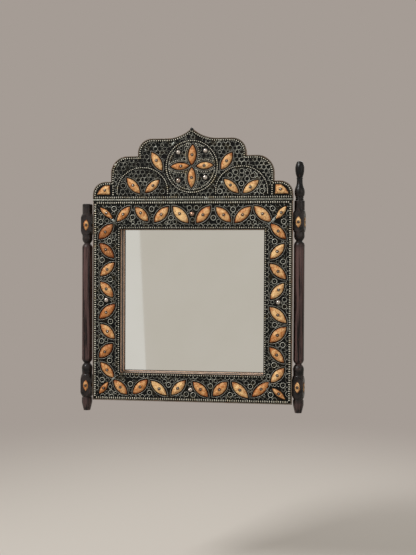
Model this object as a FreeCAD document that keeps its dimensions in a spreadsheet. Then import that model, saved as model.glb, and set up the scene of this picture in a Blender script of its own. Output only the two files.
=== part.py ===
import FreeCAD, Part
import math
import os
import re
import Sketcher

# Wall mirror: a mitred wooden frame and a scalloped crest board, faced with thin metal
# sheet that carries raised wires, bead rows, bone leaves and studs, between two turned posts.
# Millimetres. X to the right, Y into the wall, Z up. The origin is the middle of the back
# panel, on the plane of the wall.

os.makedirs("parts", exist_ok=True)
doc = FreeCAD.newDocument("bone_inlaid_mirror")
Vector = FreeCAD.Vector
Rotation = FreeCAD.Rotation
Placement = FreeCAD.Placement

driving = [
    # wooden frame
    ("frameWidth", 400, "outer width of the square frame"),
    ("frameHeight", 400, "outer height of the square frame"),
    ("borderWidth", 56, "face width of the frame's border"),
    ("woodDepth", 32.2, "depth of the rails from the wall to the sheet"),
    ("sheetThick", 0.8, "metal sheet on the face"),
    ("lipDepth", 5, "fold of the sheet into the mirror opening"),
    ("glassThick", 3, "mirror glass"),
    ("paperThick", 0.5, "paper between glass and back panel"),
    ("panelThick", 5, "wooden back panel"),
    ("glassRebate", 8, "width of the ledge that the glass lies on"),
    ("panelRebate", 8, "further width of the ledge for the panel"),
    ("glassSlack", 0.6, "room round the glass and the paper"),
    ("keyReach", 33, "leg of a triangular corner key"),
    ("keyThick", 3, "thickness of a corner key"),
    ("keySetback", 10, "distance of a corner key from the wall"),
    # crest
    ("crestThick", 15, "crest board"),
    ("crestOverhang", 0.5, "crest board past the frame at each side"),
    # shares in this group are of the crest's half width, unless they say otherwise
    ("lowerStepShare", 0.1845, "width of the outermost step"),
    ("lowerRiseShare", 0.193, "its height over the seam"),
    ("lowerRoundShare", 0.1297, "its corner radius"),
    ("middleStepShare", 0.2743, "width of the middle step"),
    ("middleRiseShare", 0.2519, "its height over the lower step"),
    ("middleRoundShare", 0.1696, "its corner radius"),
    ("upperRiseShare", 0.1721, "height of the upper step over the middle one"),
    ("upperRoundShare", 0.1397, "its corner radius"),
    ("peakRiseShare", 0.1047, "height of the peak over the upper step"),
    ("peakFootShare", 0.46, "foot of the peak's sweep, share of the upper step's half width"),
    ("battenWidth", 26, "upright batten behind the crest"),
    ("battenThick", 12, "thickness of a batten"),
    ("battenFoot", 35, "reach of a batten down the top rail"),
    ("battenRiseShare", 0.369, "reach of a batten up the crest board, share of the crest's half width"),
    ("battenSpreadShare", 0.6, "distance between the battens, share of the frame's width"),
    ("dowelRadius", 3, "wooden dowels"),
    ("dowelDepth", 12, "depth of a dowel in the frame"),
    ("dowelSpread", 75, "distance between the crest's dowels"),
    # raised wires and bead rows
    ("edgeWireWidth", 2.2, "smooth wire along the outer edge"),
    ("edgeWireRise", 1.4, "height of the smooth wires"),
    ("beadInset", 2.8, "outer bead row from the outer edge"),
    ("beadWidth", 4.4, "width of the outer bead row"),
    ("beadRise", 1.6, "height of the bead rows"),
    ("innerBeadInset", 1.2, "inner bead row from the opening"),
    ("innerBeadWidth", 3.2, "width of the inner bead row"),
    ("seamWireRadius", 2, "half-round wire over the seam under the crest"),
    ("baseBeadLift", 4.7, "bead row over the seam"),
    ("crestRimWidth", 3.2, "width of the bead row along the crest's edge"),
    ("circleShare", 0.2494, "radius of the bead circle, share of the crest's half width"),
    ("flowerLiftShare", 0.3377, "centre of the flower over the seam, share of the same"),
    ("archShare", 0.93, "radius of a bead arch, share of the circle's"),
    ("archLiftShare", 0.394, "centre of an arch over the seam, share of the circle's radius"),
    ("archLegShare", 0.16, "straight foot of an arch, share of the same"),
    ("archGap", 1.5, "gap between circle and arches"),
    ("crestBeadWidth", 2.4, "bead rows on the crest's field"),
    # bone leaves
    ("boneThick", 2.4, "thickness of the bone"),
    ("boneBevel", 0.6, "bevel round a bone piece"),
    ("leafLengthShare", 0.103, "frame leaf, tip to tip, share of its side's length"),
    ("leafWidthShare", 0.0445, "frame leaf, across, share of its side's length"),
    ("leafInset", 28, "centre line of the leaves from the outer edge"),
    ("leafTilt", 45, "slope of the frame leaves in degrees"),
    ("cornerLeafLength", 33.5, "corner leaf, tip to tip"),
    ("cornerLeafWidth", 10.6, "corner leaf, across"),
    ("cornerLeafInset", 24.6, "middle of a corner leaf from both edges"),
    ("petalLengthShare", 0.75, "flower petal, tip to tip, share of the circle's radius"),
    ("petalWidthShare", 0.302, "flower petal, across, share of the same"),
    ("crestLeafLengthShare", 0.756, "crest leaf, tip to tip, share of the circle's radius"),
    ("crestLeafWidthShare", 0.326, "crest leaf, across, share of the same"),
    ("fanWidthShare", 0.1322, "corner fan, along its base, share of the crest's half width"),
    ("fanHeightShare", 0.68, "corner fan, up its straight side, share of its base"),
    ("fanFlatShare", 0.415, "straight top of a corner fan, share of its base"),
    ("fanRoundShare", 1.3, "radius of the fan's curved side, share of its base"),
    ("fanInset", 9, "corner fan from the crest's outer edge"),
    ("fanLift", 13, "base of a corner fan over the seam"),
    ("bezelGap", 1.1, "dark gap between a leaf and its wire"),
    ("bezelWidth", 1.2, "wire round a leaf"),
    ("bezelRise", 1.3, "height of that wire"),
    # nails, studs and rings
    ("nailHeadRadius", 2.2, "bone nail, head"),
    ("nailHeadRise", 1, "bone nail, height of the head"),
    ("nailShankRadius", 0.8, "bone nail, shank"),
    ("nailLength", 11, "bone nail, shank"),
    ("studRadius", 4.8, "domed stud"),
    ("studRise", 3.6, "height of a stud"),
    ("studShankRadius", 1.1, "shank of a stud"),
    ("studLength", 9, "shank of a stud"),
    ("ringRadius", 4.7, "raised ring, middle of its wire"),
    ("ringWire", 0.9, "radius of the ring's wire"),
    ("dotRadius", 1.3, "dot in a raised ring"),
    ("bore", 0.05, "room round a shank in its hole"),
    # posts
    ("stockWidth", 21.5, "square stock of a post"),
    ("postSetback", 19, "axis of a post from the wall"),
    ("spindleRadius", 10.5, "turned shaft of a post"),
    ("headRadius", 10.2, "plain round at the top of a post"),
    ("headLength", 20, "its length"),
    ("rimRound", 1.5, "rounded rim of a post's top"),
    ("shoulderRun", 3, "step at the end of a block"),
    ("footShoulderRun", 9, "sloping corners at the foot end of the lower block"),
    ("waistShoulderRun", 10, "sloping corners at the waist end of the lower block"),
    ("upperShoulderRun", 8, "sloping corners at the ends of the upper block"),
    ("upperBlockLength", 40, "upper square block"),
    ("upperBlockInset", 42.3, "its middle below the frame's top edge"),
    ("lowerBlockLength", 45, "lower square block"),
    ("lowerBlockInset", 33.2, "its middle above the frame's bottom edge"),
    ("upperCollar", 4.5, "plain round between the upper block and its waist"),
    ("lowerCollar", 9, "plain round between the lower block and its waist"),
    ("neckRadius", 6.4, "waist at each end of the shaft"),
    ("neckFlat", 1.4, "straight bottom of a waist"),
    ("upperNeckDrop", 16.5, "upper waist below the upper block"),
    ("lowerNeckRise", 22.5, "lower waist above the lower block"),
    ("neckRun", 12, "from the middle of a waist to the full shaft"),
    ("footLength", 28.5, "turned foot below the lower block"),
    ("footGroove", 9.4, "radius in the groove over the foot"),
    ("footTipRadius", 6.8, "end of the foot"),
    ("footStraight", 13, "foot above its taper"),
    ("fluteDepth", 1.6, "notch in the end of the foot"),
    ("fluteHeight", 9, "height of a notch"),
    ("fluteWidth", 3.4, "width of a notch"),
    ("fluteCount", 8, "notches round the foot"),
    ("rightPostTurn", 10, "right post turned about its axis, in degrees"),
    ("leftPostGap", 4.6, "gap between the left post and the frame"),
    ("leftPostDrop", 5.5, "left post set lower than the right one"),
    ("socketRadius", 3, "hole in the top of a post"),
    ("socketDepth", 14, "its depth"),
    ("tenonFit", 0.1, "room round the finial's tenon"),
    ("postDowelDepth", 8, "depth of a dowel in a post"),
    ("lozengeLength", 22.4, "bone lozenge on a block"),
    ("lozengeWidth", 10.8, "bone lozenge, across"),
    ("lozengeThick", 0.9, "bone lozenge, thickness"),
    ("lozengeNailLength", 6, "shank of a lozenge's nail"),
    # finial
    ("finialLength", 77, "finial over the post"),
    ("finialFootRadius", 7.4, "foot of the finial"),
    ("finialCupRadius", 10.1, "widest part of the cup"),
    ("finialNeckRadius", 5.8, "slim neck"),
    ("finialBulbRadius", 8.9, "egg at the top"),
    # hanger
    ("hangRingRadius", 11, "hanging ring, middle of its wire"),
    ("hangWire", 1.4, "radius of the ring's wire"),
    ("stapleWire", 1.2, "radius of the staple's wire"),
    ("stapleLeg", 10, "staple leg in the crest board"),
    ("hangLiftShare", 0.5187, "staple over the seam, share of the crest's half width"),
    ("hangPlay", 0.3, "room between ring, staple and board"),
    # fasteners at the back
    ("pinHeadRadius", 1.6, "panel pin, head"),
    ("pinHeadRise", 0.5, "panel pin, height of its head"),
    ("pinRadius", 0.7, "panel pin, shank"),
    ("pinLength", 14, "panel pin, length"),
    ("screwHeadRadius", 3.2, "batten screw, head"),
    ("screwRadius", 1.6, "batten screw, shank"),
    ("screwHeadRise", 1.8, "batten screw, cone of the head"),
    ("screwLength", 21, "batten screw, length"),
]

sizes = doc.addObject("Spreadsheet::Sheet", "Sizes")
for row, (alias, amount, note) in enumerate(driving, start=1):
    sizes.set("A%d" % row, alias)
    sizes.set("B%d" % row, str(amount))
    sizes.set("C%d" % row, note)
    sizes.setAlias("B%d" % row, alias)
doc.recompute()


class Named:
    """The sheet's values, read by name."""


size = Named()
for alias, amount, note in driving:
    setattr(size, alias, float(sizes.get(alias)))


def linked(text):
    """An expression with each name of the sheet written as a reference to it."""
    return re.sub(r"\b([a-z][A-Za-z]*[A-Z][A-Za-z]*|bore)\b", r"Sizes.\1", text)


def worth(text):
    """What an expression comes to now."""
    return float(sizes.evalExpression(linked(text)))


def bind(item, prop, text):
    item.setExpression(prop, linked(text))


def originPlane(body, role):
    return [f for f in body.Origin.OriginFeatures if f.Role == role][0]


def sketchOn(body, name, role, corners, away="0"):
    """Closed outline. A corner is (x, y) or (x, y, radius, side), all texts but the side:
    the radius makes the edge to the next corner an arc, side 1 bulging out of an outline
    that runs anticlockwise and side -1 into it. The radius half makes it half a circle."""
    sketch = body.newObject("Sketcher::SketchObject", name)
    sketch.AttachmentSupport = [(originPlane(body, role), "")]
    sketch.MapMode = "FlatFace"
    if away != "0":
        bind(sketch, "AttachmentOffset.Base.z", away)
    spots = [Vector(worth(c[0]), worth(c[1]), 0) for c in corners]
    ends = []
    for k, corner in enumerate(corners):
        here = spots[k]
        there = spots[(k + 1) % len(corners)]
        if len(corner) == 2:
            edge = sketch.addGeometry(Part.LineSegment(here, there), False)
            ends.append((edge, 1, 2))
            continue
        side = corner[3]
        chord = there - here
        radius = chord.Length / 2 if corner[2] == "half" else worth(corner[2])
        rise = math.sqrt(max(radius ** 2 - (chord.Length / 2) ** 2, 0))
        inward = Vector(-chord.y, chord.x, 0).normalize() * side
        centre = (here + there) * 0.5 + inward * rise
        first, last = (here, there) if side > 0 else (there, here)
        start = math.atan2(first.y - centre.y, first.x - centre.x)
        stop = math.atan2(last.y - centre.y, last.x - centre.x)
        if stop < start:
            stop += 2 * math.pi
        circle = Part.Circle(centre, Vector(0, 0, 1), radius)
        edge = sketch.addGeometry(Part.ArcOfCircle(circle, start, stop), False)
        ends.append((edge, 1, 2) if side > 0 else (edge, 2, 1))
        if corner[2] == "half":
            sketch.addConstraint(Sketcher.Constraint("Symmetric", edge, 1, edge, 2, edge, 3))
            continue
        rule = sketch.addConstraint(Sketcher.Constraint("Radius", edge, radius))
        bind(sketch, "Constraints[%d]" % rule, corner[2])
    for k, corner in enumerate(corners):
        edge, near, far = ends[k]
        before = ends[k - 1]
        sketch.addConstraint(Sketcher.Constraint("Coincident", before[0], before[2], edge, near))
        for kind, text, amount in (("DistanceX", corner[0], spots[k].x), ("DistanceY", corner[1], spots[k].y)):
            rule = sketch.addConstraint(Sketcher.Constraint(kind, -1, 1, edge, near, amount))
            bind(sketch, "Constraints[%d]" % rule, text)
    return sketch


def newBody(label):
    return doc.addObject("PartDesign::Body", label)


def pad(body, name, role, corners, length, away="0", both=False):
    """Outline pushed out by a length, from a plane moved along its normal."""
    item = body.newObject("PartDesign::Pad", name)
    item.Profile = sketchOn(body, name + "_outline", role, corners, away)
    bind(item, "Length", length)
    if both:
        item.SideType = "Symmetric"
    body.Tip = item
    return item


def pocket(body, name, role, corners, length, away="0", both=False):
    """Outline cut back by a length, towards the side that the plane's normal leaves."""
    item = body.newObject("PartDesign::Pocket", name)
    item.Profile = sketchOn(body, name + "_outline", role, corners, away)
    bind(item, "Length", length)
    if both:
        item.SideType = "Symmetric"
    body.Tip = item
    return item


def turnedAlongY(label, corners):
    """Round piece about the Y axis; its corners are (radius, y)."""
    body = newBody(label)
    item = body.newObject("PartDesign::Revolution", label + "_turning")
    sketch = sketchOn(body, label + "_profile", "XY_Plane", corners)
    item.Profile = sketch
    item.ReferenceAxis = (sketch, ["V_Axis"])
    item.Angle = 360
    body.Tip = item
    return body


def rectangle(left, right, low, high):
    return [(left, low), (right, low), (right, high), (left, high)]


def placed(shape, place):
    moved = shape.copy()
    moved.Placement = place.multiply(moved.Placement)
    return moved


def copies(label, master, places):
    """One solid of the master at each place, as a group."""
    item = doc.addObject("Part::Feature", label)
    item.Shape = Part.makeCompound([placed(master.Shape, place) for place in places])
    item.Placement = Placement()
    return item


def group(label, members):
    item = doc.addObject("Part::Compound", label)
    item.Links = members
    return item


def cut(label, base, tool):
    item = doc.addObject("Part::Cut", label)
    item.Base = base
    item.Tool = tool
    item.Refine = False
    return item


halfWide = size.frameWidth / 2
halfHigh = size.frameHeight / 2
faceDepth = size.woodDepth + size.sheetThick
seam = halfHigh
crestHalf = halfWide + size.crestOverhang
crestBack = size.woodDepth - size.crestThick
crestHalfText = "(frameWidth / 2 + crestOverhang)"
seamText = "(frameHeight / 2)"
lowerTop = "(lowerRiseShare * %s)" % crestHalfText
middleTop = "((lowerRiseShare + middleRiseShare) * %s)" % crestHalfText
upperTop = "((lowerRiseShare + middleRiseShare + upperRiseShare) * %s)" % crestHalfText
peakRise = "(peakRiseShare * %s)" % crestHalfText
flowerText = "(flowerLiftShare * %s)" % crestHalfText
battenRiseText = "(battenRiseShare * %s)" % crestHalfText
circleText = "(circleShare * %s)" % crestHalfText
archText = "(archShare * %s)" % circleText
archLiftText = "(archLiftShare * %s)" % circleText
fanText = "(fanWidthShare * %s)" % crestHalfText
fanHeightText = "(fanHeightShare * %s)" % fanText
battenText = "(battenSpreadShare * frameWidth / 2)"
petalLengthText = "(petalLengthShare * %s)" % circleText
crestLeafLengthText = "(crestLeafLengthShare * %s)" % circleText

# A side of the frame is drawn as the top one and turned about Y, anticlockwise from the front.
# along is half the side's length and across its distance from the middle.
sides = {
    "top": (0, "(frameWidth / 2)", "(frameHeight / 2)"),
    "left": (90, "(frameHeight / 2)", "(frameWidth / 2)"),
    "bottom": (180, "(frameWidth / 2)", "(frameHeight / 2)"),
    "right": (270, "(frameHeight / 2)", "(frameWidth / 2)"),
}


def facing(angle):
    """A turn seen from the front, anticlockwise."""
    return Rotation(Vector(0, -1, 0), angle)


def sidePlace(side):
    return Placement(Vector(0, 0, 0), facing(sides[side][0]))


def onFace(x, z, angle=0, depth=faceDepth):
    """A place on the face, for a piece that stands on the plane Y = 0."""
    return Placement(Vector(x, -depth, z), facing(angle))


def mitred(side, near, far):
    """Strip of a side between two distances from the outer edge, mitred at both ends."""
    along, across = sides[side][1:]
    return [
        ("-(%s - (%s))" % (along, near), "%s - (%s)" % (across, near)),
        ("-(%s - (%s))" % (along, far), "%s - (%s)" % (across, far)),
        ("%s - (%s)" % (along, far), "%s - (%s)" % (across, far)),
        ("%s - (%s)" % (along, near), "%s - (%s)" % (across, near)),
    ]


# Wooden rails: mitred, with a ledge for the glass and a wider one for the panel, and a saw
# cut across each corner for its key. The top rail has a notch for each batten.
ledge = "glassThick + paperThick + panelThick"
woodBorder = "borderWidth - sheetThick"


def keyCorners(along, across, sign):
    tip = "%s * (%s)" % (sign, along)
    back = "%s * (%s - keyReach)" % (sign, along)
    return [(tip, across), (back, across), (tip, across + " - keyReach")]


def railBody(side):
    along, across = sides[side][1:]
    body = newBody(side + "_rail_stock")
    pad(body, side + "_stock", "XZ_Plane", mitred(side, "0", woodBorder), "woodDepth")
    glassEdge = "%s - (%s) + glassRebate" % (across, woodBorder)
    panelEdge = glassEdge + " + panelRebate"
    past = "(%s)" % along
    low = "%s - borderWidth" % across
    pocket(body, side + "_glass_ledge", "XZ_Plane",
           rectangle("-" + past, past, low, glassEdge), ledge, ledge)
    pocket(body, side + "_panel_ledge", "XZ_Plane",
           rectangle("-" + past, past, low, panelEdge), "panelThick", "panelThick")
    for mark, sign in (("a", "-1"), ("b", "1")):
        pocket(body, side + "_key_cut_" + mark, "XZ_Plane", keyCorners(along, across, sign),
               "keyThick", "keySetback + keyThick")
    if side == "top":
        for mark, sign in (("a", "-1"), ("b", "1")):
            middle = "%s * %s" % (sign, battenText)
            notch = rectangle(middle + " - battenWidth / 2", middle + " + battenWidth / 2",
                              across + " - battenFoot", across)
            pocket(body, "batten_notch_" + mark, "XZ_Plane", notch,
                   "woodDepth - crestThick", "woodDepth - crestThick")
    body.Placement = sidePlace(side)
    return body


rails = {side: railBody(side) for side in sides}


def cornerKey(mark, signX, signZ):
    body = newBody("corner_key_" + mark)
    corners = [
        ("%s * frameWidth / 2" % signX, "%s * frameHeight / 2" % signZ),
        ("%s * (frameWidth / 2 - keyReach)" % signX, "%s * frameHeight / 2" % signZ),
        ("%s * frameWidth / 2" % signX, "%s * (frameHeight / 2 - keyReach)" % signZ),
    ]
    pad(body, "key_" + mark, "XZ_Plane", corners, "keyThick", "keySetback")
    return body


group("corner_keys", [cornerKey("a", "-1", "1"), cornerKey("b", "1", "1"),
                      cornerKey("c", "-1", "-1"), cornerKey("d", "1", "-1")])

# Mirror glass, paper and back panel, one behind the other.
glassHalf = "frame%s / 2 - (" + woodBorder + ") + glassRebate - glassSlack"
panelHalf = "frame%s / 2 - (" + woodBorder + ") + glassRebate + panelRebate"


def backSlab(label, half, thick, away):
    body = newBody(label)
    wide = "(%s)" % (half % "Width")
    high = "(%s)" % (half % "Height")
    pad(body, label + "_slab", "XZ_Plane", rectangle("-" + wide, wide, "-" + high, high), thick, away)
    return body


backSlab("mirror_glass", glassHalf, "glassThick", "panelThick + paperThick")
backSlab("backing_paper", glassHalf, "paperThick", "panelThick")
panelBody = backSlab("panel_board", panelHalf, "panelThick", "0")


# Crest outline, drawn at a distance inside the board's edge: three steps with rounded
# corners on each side and a hollow sweep up to the peak.
middleHalf = "%s * (1 - lowerStepShare)" % crestHalfText
upperHalf = "%s * (1 - lowerStepShare - middleStepShare)" % crestHalfText
peakFoot = "%s * peakFootShare" % upperHalf
sweepRadius = "((%s)^2 + %s^2) / (2 * %s)" % (peakFoot, peakRise, peakRise)


def crestOutline(inset, low):
    steps = [
        (crestHalfText, lowerTop, "(lowerRoundShare * %s)" % crestHalfText),
        (middleHalf, middleTop, "(middleRoundShare * %s)" % crestHalfText),
        (upperHalf, upperTop, "(upperRoundShare * %s)" % crestHalfText),
    ]
    right = [("%s - (%s)" % (crestHalfText, inset), "%s + %s" % (seamText, low))]
    left = []
    for k, (half, top, rounding) in enumerate(steps):
        wall = "%s - (%s)" % (half, inset)
        roof = "%s + %s - (%s)" % (seamText, top, inset)
        start = "%s + %s - %s" % (seamText, top, rounding)
        turn = "%s - %s" % (half, rounding)
        right.append((wall, start, "%s - (%s)" % (rounding, inset), 1))
        right.append((turn, roof))
        left = [("-(%s)" % turn, roof, "%s - (%s)" % (rounding, inset), 1), ("-(%s)" % wall, start)] + left
        if k < 2:
            inner = "%s - (%s)" % (steps[k + 1][0], inset)
            right.append((inner, roof))
            left = [("-(%s)" % inner, roof)] + left
    sweep = "%s + (%s)" % (sweepRadius, inset)
    foot = "%s + %s - (%s)" % (seamText, upperTop, inset)
    peak = "%s + %s + %s - sqrt((%s)^2 - (%s)^2)" % (seamText, upperTop, sweepRadius, sweep, peakFoot)
    right.append((peakFoot, foot, sweep, -1))
    right.append(("0", peak, sweep, -1))
    left = [("-(%s)" % peakFoot, foot)] + left
    return right + left + [("-(%s - (%s))" % (crestHalfText, inset), "%s + %s" % (seamText, low))]


def crestRim(label, near, far, rise, low="0"):
    """Strip along the crest's edge between two distances from it."""
    body = newBody(label)
    pad(body, label + "_outer", "XZ_Plane", crestOutline(near, low), rise, "woodDepth + sheetThick")
    pocket(body, label + "_inner", "XZ_Plane", crestOutline(far, low), rise,
           "woodDepth + sheetThick + (%s)" % rise)
    return body


crestBody = newBody("crest_stock")
pad(crestBody, "crest_shape", "XZ_Plane", crestOutline("0", "0"), "crestThick", "woodDepth - crestThick")
crestSheetBody = newBody("crest_sheet_blank")
pad(crestSheetBody, "crest_sheet_shape", "XZ_Plane", crestOutline("0", "0"), "sheetThick", "woodDepth")


def battenBody(mark, sign):
    body = newBody("batten_stock_" + mark)
    middle = "%s * %s" % (sign, battenText)
    corners = rectangle(middle + " - battenWidth / 2", middle + " + battenWidth / 2",
                        seamText + " - battenFoot", seamText + " + " + battenRiseText)
    pad(body, "batten_" + mark, "XZ_Plane", corners, "battenThick",
        "woodDepth - crestThick - battenThick")
    return body


leftBattenBody = battenBody("a", "-1")
rightBattenBody = battenBody("b", "1")


# Metal sheets of the frame, mitred, each with its fold into the opening.
def sheetBody(side):
    body = newBody(side + "_sheet_blank")
    pad(body, side + "_face", "XZ_Plane", mitred(side, "0", "borderWidth"), "sheetThick", "woodDepth")
    pad(body, side + "_lip", "XZ_Plane", mitred(side, woodBorder, "borderWidth"),
        "lipDepth", "woodDepth + sheetThick - lipDepth")
    body.Placement = sidePlace(side)
    return body


sheets = {side: sheetBody(side) for side in sides}


# Smooth wires and bead rows of the frame, each side a strip.
def strips(label, near, far, rise, chosen):
    members = []
    for side in chosen:
        body = newBody("%s_%s" % (label, side))
        pad(body, "%s_%s_strip" % (label, side), "XZ_Plane", mitred(side, near, far), rise,
            "woodDepth + sheetThick")
        body.Placement = sidePlace(side)
        members.append(body)
    return group(label, members)


strips("frame_edge_wires", "0", "edgeWireWidth", "edgeWireRise", ["left", "bottom", "right"])
strips("outer_bead_rows", "beadInset", "beadInset + beadWidth", "beadRise", sides)
strips("inner_bead_rows", "borderWidth - innerBeadInset - innerBeadWidth",
       "borderWidth - innerBeadInset", "beadRise", sides)

# Half-round wire over the seam between crest and frame.
seamBody = newBody("seam_wire")
seamMiddle = "%s + seamWireRadius" % seamText
frontText = "-(woodDepth + sheetThick)"
pad(seamBody, "seam_bar", "YZ_Plane",
    [(frontText, seamMiddle + " + seamWireRadius", "half", 1),
     (frontText, seamMiddle + " - seamWireRadius")], "frameWidth", "0", True)

# Wires and bead rows of the crest.
crestRim("crest_edge_wire", "0", "edgeWireWidth", "edgeWireRise", "2 * seamWireRadius")
crestRim("crest_bead_row", "beadInset", "beadInset + crestRimWidth", "beadRise",
         "baseBeadLift + beadWidth")
baseBody = newBody("crest_base_bead_row")
baseHalf = "(%s - edgeWireWidth)" % crestHalfText
pad(baseBody, "base_row", "XZ_Plane",
    rectangle("-" + baseHalf, baseHalf, seamText + " + baseBeadLift",
              seamText + " + baseBeadLift + beadWidth"), "beadRise", "woodDepth + sheetThick")


def roundBand(body, name, x, z, middle, rise):
    """Full ring of the crest's bead row about a point."""
    for step, radius, action in (("out", middle + " + crestBeadWidth / 2", pad),
                                 ("in", middle + " - crestBeadWidth / 2", pocket)):
        corners = [("%s + (%s)" % (x, radius), z, "half", 1), ("%s - (%s)" % (x, radius), z, "half", 1)]
        away = "woodDepth + sheetThick"
        if action is pocket:
            away = away + " + (%s)" % rise
        action(body, "%s_%s" % (name, step), "XZ_Plane", corners, rise, away)


circleBody = newBody("crest_bead_circle")
roundBand(circleBody, "circle", "0", seamText + " + " + flowerText, circleText, "beadRise")


def archBody(mark, sign):
    """Half ring on two short straight feet."""
    body = newBody("arch_" + mark)
    middle = "%s * (%s + archGap + %s)" % (sign, circleText, archText)
    high = seamText + " + " + archLiftText
    outer = "(%s + crestBeadWidth / 2)" % archText
    inner = "(%s - crestBeadWidth / 2)" % archText
    low = "%s - archLegShare * %s" % (high, circleText)
    corners = [
        ("%s + %s" % (middle, outer), low),
        ("%s + %s" % (middle, outer), high, "half", 1),
        ("%s - %s" % (middle, outer), high),
        ("%s - %s" % (middle, outer), low),
        ("%s - %s" % (middle, inner), low),
        ("%s - %s" % (middle, inner), high, "half", -1),
        ("%s + %s" % (middle, inner), high),
        ("%s + %s" % (middle, inner), low),
    ]
    pad(body, "arch_band_" + mark, "XZ_Plane", corners, "beadRise", "woodDepth + sheetThick")
    return body


group("crest_bead_arches", [archBody("a", "-1"), archBody("b", "1")])


# Bone leaves: two arcs from tip to tip, bevelled, and the wire that rings each one.
def arcRadius(length, width):
    return "((%s)^2 + (%s)^2) / (4 * (%s))" % (length, width, width)


def lens(length, width, grow="0"):
    """Leaf outline along X, grown all round."""
    radius = "%s + (%s)" % (arcRadius(length, width), grow)
    drop = "%s - (%s) / 2" % (arcRadius(length, width), width)
    half = "sqrt((%s)^2 - (%s)^2)" % (radius, drop)
    return [(half, "0", radius, 1), ("-" + half, "0", radius, 1)]


def frontEdges(shape):
    """Names of the edges that lie in the frontmost plane of a shape."""
    front = shape.BoundBox.YMin
    near = shape.BoundBox.YLength / 1000
    flat = [k for k, edge in enumerate(shape.Edges) if edge.BoundBox.YMax - front < near]
    return ["Edge%d" % (k + 1) for k in flat]


def bevel(body, solid):
    doc.recompute()
    item = body.newObject("PartDesign::Chamfer", body.Name + "_bevel")
    item.Base = (solid, frontEdges(solid.Shape))
    bind(item, "Size", "boneBevel")
    body.Tip = item


def leafBody(label, length, width, thick="boneThick"):
    body = newBody(label)
    bevel(body, pad(body, label + "_blank", "XZ_Plane", lens(length, width), thick))
    return body


def bezelBody(label, length, width):
    body = newBody(label)
    pad(body, label + "_out", "XZ_Plane", lens(length, width, "bezelGap + bezelWidth"), "bezelRise")
    pocket(body, label + "_in", "XZ_Plane", lens(length, width, "bezelGap"), "bezelRise", "bezelRise")
    return body


def frameLeafSize(share, side):
    return "(%s * 2 * %s)" % (share, sides[side][1])


frameLeaf = {}
frameBezel = {}
for first, second in (("top", "bottom"), ("left", "right")):
    length = frameLeafSize("leafLengthShare", first)
    width = frameLeafSize("leafWidthShare", first)
    frameLeaf[first] = frameLeaf[second] = leafBody(first + "_leaf", length, width)
    frameBezel[first] = frameBezel[second] = bezelBody(first + "_bezel", length, width)
cornerLeaf = leafBody("corner_leaf", "cornerLeafLength", "cornerLeafWidth")
petalWidthText = "(petalWidthShare * %s)" % circleText
crestLeafWidthText = "(crestLeafWidthShare * %s)" % circleText
petal = leafBody("petal", petalLengthText, petalWidthText)
crestLeaf = leafBody("crest_leaf", crestLeafLengthText, crestLeafWidthText)
lozenge = leafBody("lozenge", "lozengeLength", "lozengeWidth", "lozengeThick")
petalBezel = bezelBody("petal_bezel", petalLengthText, petalWidthText)
crestLeafBezel = bezelBody("crest_leaf_bezel", crestLeafLengthText, crestLeafWidthText)


def fanBody(label, sign):
    """Corner piece with a straight base, a straight inner side and a curved outer side."""
    body = newBody(label)
    outer = "%s * (%s - fanInset)" % (sign, crestHalfText)
    inner = "%s * (%s - fanInset - %s)" % (sign, crestHalfText, fanText)
    flat = "%s * (%s - fanInset - %s * (1 - fanFlatShare))" % (sign, crestHalfText, fanText)
    curve = "%s * fanRoundShare" % fanText
    low = seamText + " + fanLift"
    high = "%s + %s" % (low, fanHeightText)
    if sign == "1":
        corners = [(inner, low), (outer, low, curve, 1), (flat, high), (inner, high)]
    else:
        corners = [(outer, low), (inner, low), (inner, high), (flat, high, curve, 1)]
    bevel(body, pad(body, label + "_blank", "XZ_Plane", corners, "boneThick", "woodDepth + sheetThick"))
    return body


fans = [fanBody("fan_a", "-1"), fanBody("fan_b", "1")]

# Round pieces, with their axis on Y and the head in front.
nail = turnedAlongY("bone_nail", [
    ("0", "nailLength"), ("nailShankRadius", "nailLength"), ("nailShankRadius", "0"),
    ("nailHeadRadius", "0"), ("nailHeadRadius * 0.6", "-nailHeadRise * 0.8"), ("0", "-nailHeadRise")])
nailBore = turnedAlongY("bone_nail_bore", [
    ("0", "nailLength"), ("nailShankRadius + bore", "nailLength"),
    ("nailShankRadius + bore", "-nailHeadRise"), ("0", "-nailHeadRise")])
lozengeNail = turnedAlongY("lozenge_nail", [
    ("0", "lozengeNailLength"), ("nailShankRadius", "lozengeNailLength"), ("nailShankRadius", "0"),
    ("nailHeadRadius", "0"), ("nailHeadRadius * 0.6", "-nailHeadRise * 0.8"), ("0", "-nailHeadRise")])
lozengeBore = turnedAlongY("lozenge_nail_bore", [
    ("0", "lozengeNailLength"), ("nailShankRadius + bore", "lozengeNailLength"),
    ("nailShankRadius + bore", "-nailHeadRise"), ("0", "-nailHeadRise")])
stud = turnedAlongY("domed_stud", [
    ("0", "studLength"), ("studShankRadius", "studLength"), ("studShankRadius", "0"),
    ("studRadius", "0", "(studRadius^2 + studRise^2) / (2 * studRise)", -1), ("0", "-studRise")])
studBore = turnedAlongY("domed_stud_bore", [
    ("0", "studLength"), ("studShankRadius + bore", "studLength"),
    ("studShankRadius + bore", "-bore"), ("0", "-bore")])
raisedRing = turnedAlongY("raised_ring", [
    ("ringRadius - ringWire", "0"), ("ringRadius + ringWire", "0", "half", -1)])
raisedDot = turnedAlongY("raised_dot", [
    ("0", "0"), ("dotRadius", "0", "dotRadius", -1), ("0", "-dotRadius")])
pin = turnedAlongY("panel_pin", [
    ("0", "0"), ("pinHeadRadius", "0"), ("pinHeadRadius", "-pinHeadRise"),
    ("pinRadius", "-pinHeadRise"), ("pinRadius", "-pinLength"), ("0", "-pinLength")])
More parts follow.
